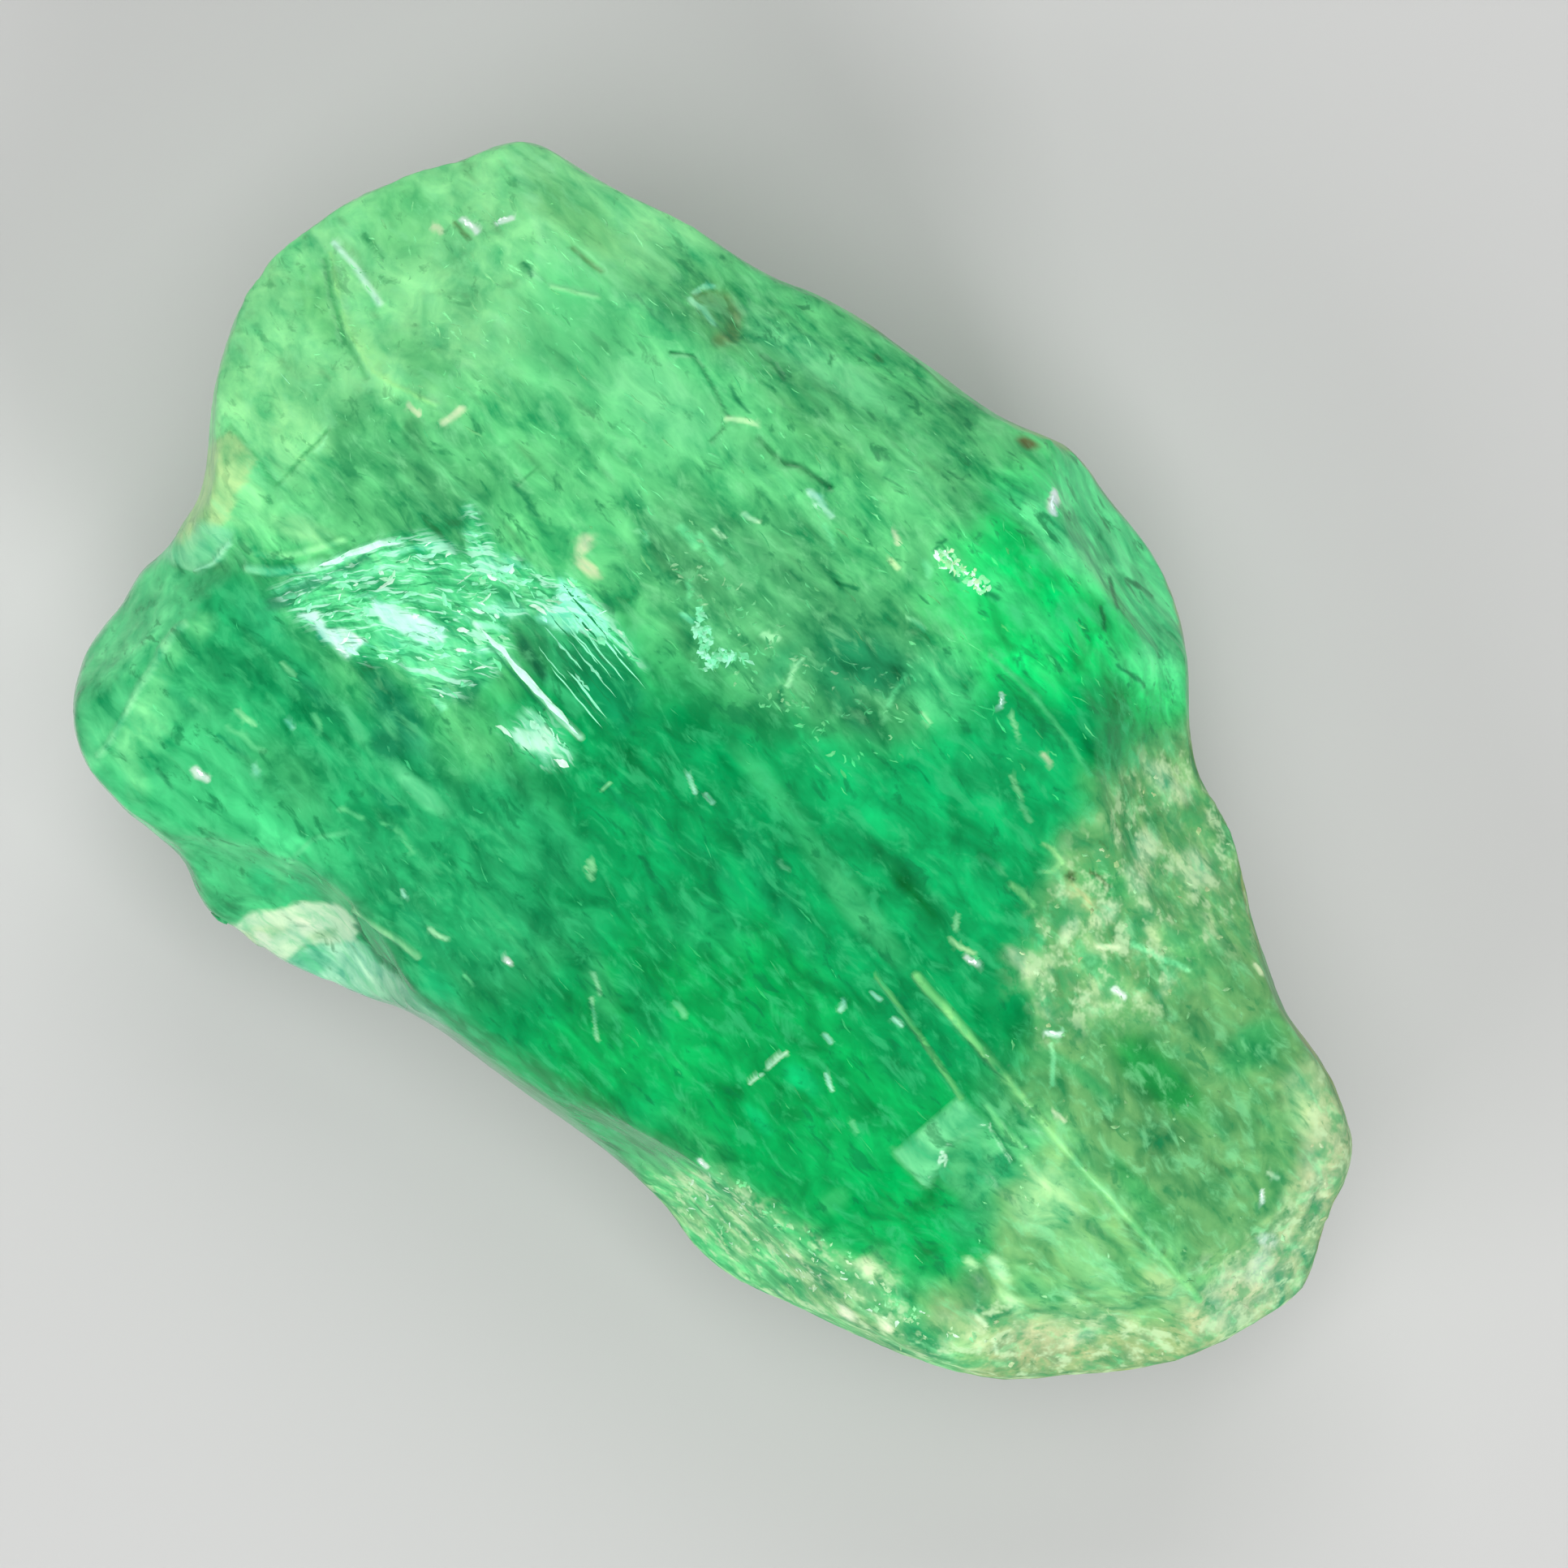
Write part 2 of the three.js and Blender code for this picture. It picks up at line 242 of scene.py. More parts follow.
# Soft spots: colour, how much of it, centre, radii, turn in degrees.
SPOTS = [
    # the blunt end
    ((120, 206, 124), 0.6, (-9.2, 4.35), (1.1, 0.35), 10),
    ((100, 205, 120), 0.5, (-10.9, 0.3), (0.8, 0.4), -20),
    ((150, 238, 156), 0.5, (-10.2, -1.6), (1.2, 0.5), 10),
    ((90, 196, 118), 0.5, (-11.1, 2.2), (0.6, 0.8), 60),
    ((78, 188, 112), 0.6, (-9.0, 0.9), (0.9, 0.3), 8),
    ((146, 236, 150), 0.6, (-9.9, 0.35), (0.7, 0.16), -8),
    ((72, 176, 106), 0.6, (-7.9, -1.5), (0.7, 0.45), 40),
    ((140, 220, 150), 0.6, (-8.4, -2.5), (0.5, 0.2), 30),
    # the upper face, from left to right
    ((118, 222, 150), 0.6, (-5.9, 3.3), (1.1, 0.6), 10),
    ((74, 182, 112), 0.5, (-4.9, 2.4), (0.8, 0.2), 0),
    ((92, 186, 112), 0.6, (-3.6, 4.9), (1.3, 0.25), 8),
    ((112, 226, 152), 0.6, (-4.6, 5.7), (1.6, 0.3), 16),
    ((70, 170, 106), 0.55, (-2.5, 2.7), (1.3, 0.35), 0),
    ((8, 132, 82), 0.9, (-0.5, 2.9), (1.1, 0.55), 25),
    ((16, 138, 84), 0.8, (-0.2, 2.2), (0.9, 0.25), 0),
    ((34, 160, 100), 0.6, (-1.4, 1.8), (0.2, 0.5), 15),
    ((70, 212, 134), 0.6, (0.7, 3.6), (0.6, 0.7), 60),
    ((16, 160, 90), 0.6, (2.3, 3.2), (0.7, 0.45), 40),
    ((12, 165, 92), 0.6, (2.9, 5.1), (0.8, 0.35), -35),
    ((82, 222, 140), 0.5, (0.6, 5.4), (0.9, 0.25), 5),
    ((40, 180, 106), 0.5, (1.2, 5.9), (0.35, 0.3), 80),
    ((120, 235, 165), 0.4, (0.3, 6.6), (1.3, 0.3), 5),
    # the window
    ((2, 128, 66), 0.85, (2.6, 0.98), (1.35, 0.19), 2),
    ((0, 122, 44), 0.6, (2.95, 0.88), (0.6, 0.1), 0),
    ((74, 206, 130), 0.75, (2.3, 0.08), (1.25, 0.26), -5),
    ((62, 200, 124), 0.55, (0.2, 0.3), (1.2, 0.2), -3),
    ((14, 150, 92), 0.5, (1.3, -0.75), (1.5, 0.3), -14),
    ((16, 150, 90), 0.5, (0.4, -1.2), (0.7, 0.12), 0),
    ((10, 144, 90), 0.5, (-1.2, -1.6), (1.1, 0.08), 3),
    ((40, 196, 118), 0.5, (0.9, -2.0), (0.9, 0.5), 30),
    ((8, 150, 84), 0.5, (0.7, -2.85), (0.35, 0.3), 30),
    ((12, 158, 92), 0.5, (1.2, -3.6), (0.9, 0.35), -20),
    ((10, 166, 92), 0.5, (-0.9, -3.3), (0.7, 0.2), 35),
    ((74, 204, 130), 0.45, (0.6, -4.0), (0.8, 0.25), -25),
    ((0, 206, 120), 0.7, (3.9, -2.55), (0.35, 0.2), 10),
    ((0, 204, 118), 0.6, (3.9, -3.5), (0.35, 0.12), 0),
    ((4, 140, 62), 0.7, (4.1, -2.75), (0.14, 0.12), 0),
    ((4, 138, 62), 0.75, (4.25, -2.98), (0.2, 0.15), 20),
    ((4, 150, 76), 0.6, (4.2, -2.0), (0.35, 0.08), -28),
    ((60, 206, 118), 0.7, (5.75, -3.5), (0.2, 0.28), 0),
    ((0, 158, 80), 0.6, (5.3, 0.5), (0.85, 0.4), 0), ((6, 158, 90), 0.5, (4.8, -1.2), (0.8, 0.3), 0),
    # the lobe
    ((34, 154, 104), 0.9, (-5.1, -3.35), (0.95, 0.35), -12),
    ((24, 134, 88), 0.8, (-4.8, -3.85), (0.4, 0.25), 0),
    ((108, 232, 160), 0.8, (-3.9, -3.95), (0.6, 0.16), 5),
    ((6, 148, 92), 0.75, (-4.1, -4.45), (0.4, 0.12), 10),
    ((30, 158, 104), 0.6, (-6.2, -4.15), (0.6, 0.14), 0),
    ((40, 170, 110), 0.6, (-7.8, -3.95), (0.6, 0.3), 0),
    ((110, 232, 160), 0.7, (-5.5, -4.0), (0.4, 0.1), -10),
    ((104, 226, 152), 0.6, (-5.0, -3.6), (0.25, 0.08), -10),
    ((70, 180, 112), 0.6, (-5.6, -5.4), (0.9, 0.5), 0),
    ((4, 184, 112), 0.6, (-4.0, -6.3), (0.45, 0.25), 60),
    ((6, 196, 120), 0.6, (-4.6, -6.75), (0.35, 0.14), 0),
    ((0, 190, 116), 0.6, (-1.4, -5.95), (0.6, 0.22), 0),
    ((122, 236, 156), 0.6, (-7.7, -6.6), (0.4, 0.8), 20),
    ((60, 188, 118), 0.6, (-8.5, -6.8), (0.35, 0.35), 0),
    ((14, 160, 100), 0.5, (-2.2, -5.5), (0.6, 0.2), 5),
    ((44, 178, 116), 0.5, (-7.7, -5.8), (0.5, 0.1), 0),
    # the hazy point
    ((2, 140, 62), 0.9, (7.8, 1.85), (1.1, 0.42), 5), ((52, 172, 98), 0.7, (8.5, 3.3), (0.35, 0.65), 0),
    ((88, 160, 96), 0.6, (9.9, 1.0), (1.1, 0.5), 0), ((34, 160, 84), 0.6, (9.0, 0.35), (0.8, 0.18), 0),
    ((60, 172, 98), 0.5, (6.6, 3.7), (0.5, 0.4), 40), ((70, 178, 104), 0.5, (6.3, 0.6), (0.25, 0.2), 0),
    ((40, 170, 96), 0.6, (5.9, 2.35), (0.5, 0.2), 0), ((72, 176, 100), 0.6, (4.9, 3.4), (0.5, 0.3), 20),
    ((150, 216, 146), 0.9, (8.1, -0.9), (0.6, 0.6), 40),
    ((120, 188, 112), 0.6, (8.9, -0.4), (0.6, 0.2), 0),
    ((104, 188, 118), 0.6, (9.4, -1.1), (0.9, 0.3), 0),
    ((88, 186, 112), 0.6, (9.1, -2.0), (0.55, 0.2), 5),
    ((178, 214, 150), 0.5, (10.6, -0.4), (0.6, 0.25), 0),
    ((40, 184, 110), 0.6, (7.5, -2.0), (0.4, 0.5), 0),
    ((160, 222, 152), 0.6, (10.0, 3.2), (0.8, 0.3), -20),
    ((46, 180, 104), 0.5, (6.9, 0.9), (0.8, 0.12), 10),
    ((112, 158, 108), 0.7, (7.4, -4.3), (1.5, 0.45), 12),
    ((166, 178, 142), 0.6, (9.7, -2.6), (0.9, 0.35), 48),
    ((180, 206, 172), 0.6, (11.4, 0.4), (0.5, 1.2), 0),
    ((176, 182, 146), 0.6, (10.6, 2.9), (0.9, 0.4), -45),
    ((92, 172, 108), 0.5, (5.0, -4.8), (0.9, 0.3), 10),
    # pale flecks in the crust and the haze
    (CREAM, 0.8, (4.92, 4.25), (0.2, 0.32), 40), (CREAM, 0.9, (5.2, 3.8), (0.24, 0.18), 0),
    (CREAM, 0.7, (5.27, 3.0), (0.15, 0.33), 0), (CREAM, 0.7, (5.05, 2.4), (0.15, 0.28), 20),
    (CREAM, 0.6, (5.7, 4.6), (0.4, 0.3), 0), (CREAM, 0.7, (4.85, 1.45), (0.3, 0.13), 0),
    (CREAM, 0.6, (4.3, 5.2), (0.5, 0.2), 0), ((184, 196, 138), 0.7, (4.75, 2.9), (0.35, 0.14), 5),
    # a painted highlight: the two white spots at the point's tip
    (WHITE, 0.8, (11.05, 1.35), (0.2, 0.13), 0), ((190, 226, 205), 0.8, (11.25, 0.95), (0.18, 0.3), 20),
    (CREAM, 0.7, (6.9, -3.83), (0.2, 0.17), 20), ((238, 245, 212), 0.8, (7.75, -4.18), (0.17, 0.07), 5),
    ((238, 245, 214), 0.8, (7.2, -4.55), (0.2, 0.09), 8),
    ((190, 255, 188), 0.8, (8.4, -2.25), (0.28, 0.12), -10),
    ((180, 250, 180), 0.8, (8.0, -2.5), (0.16, 0.09), 0),
    ((170, 235, 165), 0.7, (8.95, -2.45), (0.35, 0.14), 0),
    ((180, 238, 168), 0.8, (9.5, -1.68), (0.22, 0.09), 8),
    (CREAM, 0.8, (10.1, -2.0), (0.14, 0.36), -15),
    # the pit near the upper edge, and other small ones
    ((92, 168, 100), 0.5, (-6.35, 5.0), (0.7, 0.45), -20),
    ((204, 228, 180), 0.95, (-5.05, 0.78), (0.11, 0.22), 10),
    ((200, 222, 174), 0.95, (-4.75, 0.56), (0.26, 0.09), 5),
    ((60, 98, 50), 0.95, (10.0, -0.1), (0.11, 0.08), 20),
    ((48, 76, 36), 0.95, (4.43, 3.03), (0.1, 0.07), 0),
    ((100, 84, 44), 0.9, (-1.35, 7.35), (0.2, 0.1), 30), (WHITE, 0.9, (-0.33, 6.95), (0.1, 0.2), 40),
]

STEP = [(5.88, -0.82), (5.82, -1.4), (5.86, -1.9), (5.76, -2.22), (6.6, -2.2), (6.3, -1.4), (6.5, -0.8)]

# Patches with a firm edge: colour, how much of it, width of the edge, outline.
PATCHES = [
    # the cream film beside the groove at the blunt end
    ((178, 226, 152), 0.9, 0.08, [(-10.5, -2.25), (-9.75, -2.28), (-9.55, -2.75), (-9.35, -3.3),
        (-9.3, -4.0), (-10.4, -4.0)]),
    # the glassy bulge where the groove meets the lobe
    ((140, 238, 178), 0.8, 0.15, [(-9.6, -3.6), (-9.1, -3.35), (-8.9, -3.7), (-8.9, -4.1),
        (-9.4, -4.3)]),
    # the broken band, where the fracture catches the light: its pale and white-cyan patches are painted
    # highlights
    ((8, 152, 94), 0.7, 0.35, [(-4.7, -0.1), (-3.6, -0.1), (-2.5, -0.1), (-2.3, -0.9), (-4.9, -0.95)]),
    # painted highlights: the next five patches, pale to white-cyan
    ((112, 236, 166), 0.6, 0.3, [(-6.4, -2.6), (-5.6, -1.8), (-5.0, -1.7), (-4.8, -2.3), (-5.2, -2.7),
        (-6.2, -2.8)]),
    ((212, 255, 238), 0.95, 0.08, [(-7.4, -3.47), (-7.22, -3.2), (-6.9, -3.3), (-6.72, -3.05),
        (-6.3, -2.93), (-6.3, -3.35), (-6.75, -3.42)]),
    ((196, 255, 232), 0.9, 0.1, [(-6.8, -2.42), (-6.2, -2.1), (-5.6, -1.83), (-5.42, -1.95),
        (-5.6, -2.25), (-6.1, -2.4), (-6.35, -2.55)]),
    ((138, 248, 205), 0.85, 0.12, [(-4.7, -0.62), (-4.2, -0.42), (-3.9, -0.1), (-3.6, 0.0),
        (-3.85, 0.25), (-4.5, 0.2), (-4.95, 0.1), (-4.6, -0.2)]),
    ((182, 252, 214), 0.92, 0.08, [(-3.62, -2.1), (-3.3, -2.22), (-3.0, -2.05), (-2.65, -1.83),
        (-2.9, -1.88), (-3.12, -1.65), (-3.28, -1.65), (-3.35, -1.92)]),
    ((60, 204, 130), 0.7, 0.04, [(-4.0, -1.08), (-3.05, -1.0), (-3.05, -1.27), (-4.0, -1.25)]),
    ((14, 108, 70), 0.9, 0.12, [(-4.85, -0.98), (-4.5, -0.95), (-3.85, -1.1), (-3.85, -1.22),
        (-4.4, -1.22)]),
    ((12, 126, 80), 0.8, 0.2, [(-4.9, -2.2), (-4.5, -1.95), (-4.3, -2.4), (-4.6, -2.6), (-4.95, -2.5)]),
    # the dark gap inside the broken band's outer rim
    ((48, 138, 98), 0.85, 0.08, [(-7.95, -3.7), (-7.72, -3.1), (-7.5, -2.5), (-7.38, -1.95),
        (-7.24, -2.0), (-7.4, -2.7), (-7.6, -3.4), (-7.75, -3.8)]),
    # the hazy step beside the window
    ((126, 242, 168), 0.85, 0.1, STEP),
    ((98, 212, 138), 0.8, 0.3, [(6.3, -0.8), (6.2, -1.4), (6.6, -1.95), (7.3, -1.9), (7.5, -0.9)]),
    # the weathered rim of the point, tan above and olive below
    ((162, 184, 138), 0.55, 0.5, [(9.2, 4.0), (9.3, 3.3), (10.3, 2.9), (10.8, 1.9), (11.1, 1.0),
        (11.0, 0.0), (13, 0), (13, 4)]),
    ((142, 154, 106), 0.6, 0.5, [(9.2, -2.9), (10.0, -2.2), (10.7, -1.2), (11.1, -0.2), (12, -0.4),
        (12, -4), (9.2, -4)]),
    ((160, 182, 134), 0.45, 0.4, [(8.0, -3.3), (8.9, -2.7), (9.6, -1.9), (10.3, -1.1), (10.8, -1.3),
        (10.0, -2.3), (9.2, -3.0), (8.2, -3.7)]),
    # the flange under the lower edge
    ((206, 246, 204), 0.95, 0.1, [(-4.5, -8), (-4.35, -7.1), (-3.9, -6.6), (-3.3, -6.2), (-2.9, -6.28),
        (-2.78, -6.5), (-3.3, -7.0), (-3.4, -8)]),
    ((172, 248, 204), 0.9, 0.12, [(-3.45, -8), (-3.25, -7.0), (-2.75, -6.42), (-0.7, -6.25),
        (-0.7, -6.7), (-2.0, -8)]),
    ((178, 222, 168), 0.7, 0.15, [(-4.3, -7.6), (-4.0, -7.0), (-3.7, -6.9), (-3.9, -7.6)]),
    ((228, 250, 216), 0.8, 0.1, [(-3.75, -6.75), (-3.5, -6.5), (-3.3, -6.6), (-3.5, -6.85)]),
    ((232, 252, 222), 0.8, 0.1, [(-4.1, -7.3), (-3.9, -7.15), (-3.6, -7.25), (-3.9, -7.4)]),
    ((150, 206, 150), 0.7, 0.12, [(-3.35, -6.75), (-3.15, -6.5), (-3.05, -6.6), (-3.3, -6.9)]),
    ((190, 252, 214), 0.35, 0.3, [(-2.3, -6.5), (-1.6, -6.35), (-1.7, -6.7), (-2.4, -7.0)]),
    ((70, 192, 144), 0.7, 0.2, [(-3.3, -7.3), (-3.1, -6.8), (-2.75, -6.9), (-2.8, -7.3)]),
    ((34, 158, 104), 0.85, 1.2, [(-1.9, -6.5), (-1.2, -6.2), (-0.1, -6.0), (-0.1, -7.4), (-1.9, -7.4)]),
]

# Lines on the surface: colour, how much of it, rise in millimetres, width, route.
LINES = [
    ((150, 238, 150), 0.9, 0.03, 0.09,
        [(-11.5, 0.95), (-11.1, 0.72), (-10.3, 0.3), (-9.5, 0.13), (-8.85, 0.35), (-8.4, 0.55)]),
    ((64, 166, 98), 0.6, -0.02, 0.12, [(-11.5, 0.8), (-11.1, 0.58), (-10.3, 0.16), (-9.5, 0.0)]),
    # a painted highlight: the white-cyan line along the blunt end's upper left edge
    ((196, 255, 222), 0.95, 0.03, 0.13, [(-11.6, 1.12), (-11.1, 1.12), (-10.7, 1.05), (-10.3, 1.0)]),
    ((72, 176, 104), 0.6, -0.04, 0.06, [(-9.32, -1.05), (-9.28, -1.5), (-9.22, -2.0), (-9.2, -2.3)]),
    ((78, 180, 108), 0.5, -0.04, 0.06, [(-10.5, -2.2), (-9.75, -2.24), (-9.2, -2.35)]),
    ((36, 146, 88), 0.85, -0.04, 0.05,
        [(-6.45, 4.0), (-6.15, 4.22), (-5.9, 4.2), (-5.5, 4.12), (-5.0, 3.98)]),
    ((100, 150, 88), 0.85, -0.04, 0.34,
        [(-6.78, 5.02), (-6.5, 5.26), (-6.15, 5.22), (-5.95, 4.98), (-6.05, 4.74)]),
    ((48, 136, 82), 0.85, -0.05, 0.1,
        [(-4.4, 4.1), (-4.1, 4.12), (-3.8, 4.16), (-3.6, 4.3), (-3.0, 4.44)]),
    ((60, 150, 92), 0.7, -0.03, 0.07, [(-4.95, 3.85), (-4.9, 3.5)]),
    ((46, 148, 92), 0.7, -0.03, 0.08, [(-5.4, 5.1), (-5.15, 5.17), (-4.85, 5.1)]),
    ((90, 150, 84), 0.7, -0.03, 0.1, [(-8.8, 4.0), (-8.5, 4.02), (-8.2, 4.08)]),
    ((160, 246, 168), 0.85, 0.03, 0.08, [(-8.55, 3.28), (-8.2, 3.5), (-7.9, 3.72)]),
    ((56, 158, 92), 0.7, -0.03, 0.06, [(-6.5, 1.1), (-6.53, 0.65)]),
    ((84, 216, 138), 0.75, 0.02, 0.09,
        [(0.85, 4.48), (1.5, 4.58), (2.2, 4.54), (2.8, 4.48), (3.4, 4.38)]),
    ((150, 250, 152), 0.9, 0.05, 0.17, [(3.9, 0.02), (5.6, 0.0)]),
    ((136, 222, 138), 0.85, 0.04, 0.15, [(5.6, 0.0), (7.8, -0.1), (9.6, -0.1), (11.0, -0.15)]),
    ((122, 220, 132), 0.85, 0.03, 0.08, [(3.5, -0.48), (4.5, -0.6), (5.9, -0.8)]),
    ((122, 226, 142), 0.8, 0.02, 0.12, [(6.3, -0.58), (6.8, -0.66), (7.2, -0.62)]),
    ((26, 146, 82), 0.8, -0.03, 0.07, [(6.2, -0.66), (6.8, -0.8), (7.25, -0.88)]),
    # painted highlights: the white-cyan and pale lines along the broken band's outer rim, and its level
    # ridge
    ((176, 255, 214), 0.95, 0.05, 0.14,
        [(-7.78, -2.78), (-7.62, -2.4), (-7.46, -1.95), (-7.32, -1.62), (-7.08, -1.38)]),
    ((152, 250, 188), 0.85, 0.06, 0.2, [(-8.5, -3.55), (-8.2, -3.3), (-7.95, -3.0), (-7.76, -2.6)]),
    ((138, 236, 158), 0.7, 0.04, 0.16,
        [(-9.0, -3.4), (-8.6, -3.3), (-8.3, -3.05), (-8.0, -2.55), (-7.8, -2.1)]),
    ((176, 255, 212), 0.95, 0.05, 0.13, [(-5.3, -1.4), (-4.5, -1.38), (-3.6, -1.42), (-2.75, -1.4)]),
    ((16, 132, 84), 0.8, -0.03, 0.05, [(-4.9, -1.52), (-4.2, -1.53), (-3.5, -1.55)]),
    ((120, 232, 152), 0.6, 0.03, 0.5,
        [(-8.3, -4.7), (-8.3, -5.3), (-8.05, -6.1), (-7.7, -6.8), (-7.0, -7.3)]),
    ((146, 246, 176), 0.85, 0.04, 0.12,
        [(-8.45, -4.9), (-8.45, -5.2), (-8.32, -5.7), (-8.2, -6.2), (-8.0, -6.8), (-7.85, -7.3)]),
    ((166, 250, 198), 0.9, 0.04, 0.09, [(-9.02, -3.5), (-8.93, -3.85), (-8.95, -4.1)]),
    ((150, 232, 164), 0.85, 0.05, 0.12, [(-3.15, -6.1), (-2.8, -6.0), (-2.3, -5.86), (-1.9, -5.83)]),
    ((8, 136, 84), 0.8, -0.05, 0.08, [(-3.1, -6.2), (-2.8, -6.32), (-2.4, -6.37), (-2.0, -6.3)]),
    ((98, 220, 148), 0.6, 0.02, 0.1, [(-4.2, -5.3), (-4.5, -5.8), (-4.45, -6.4)]),
]

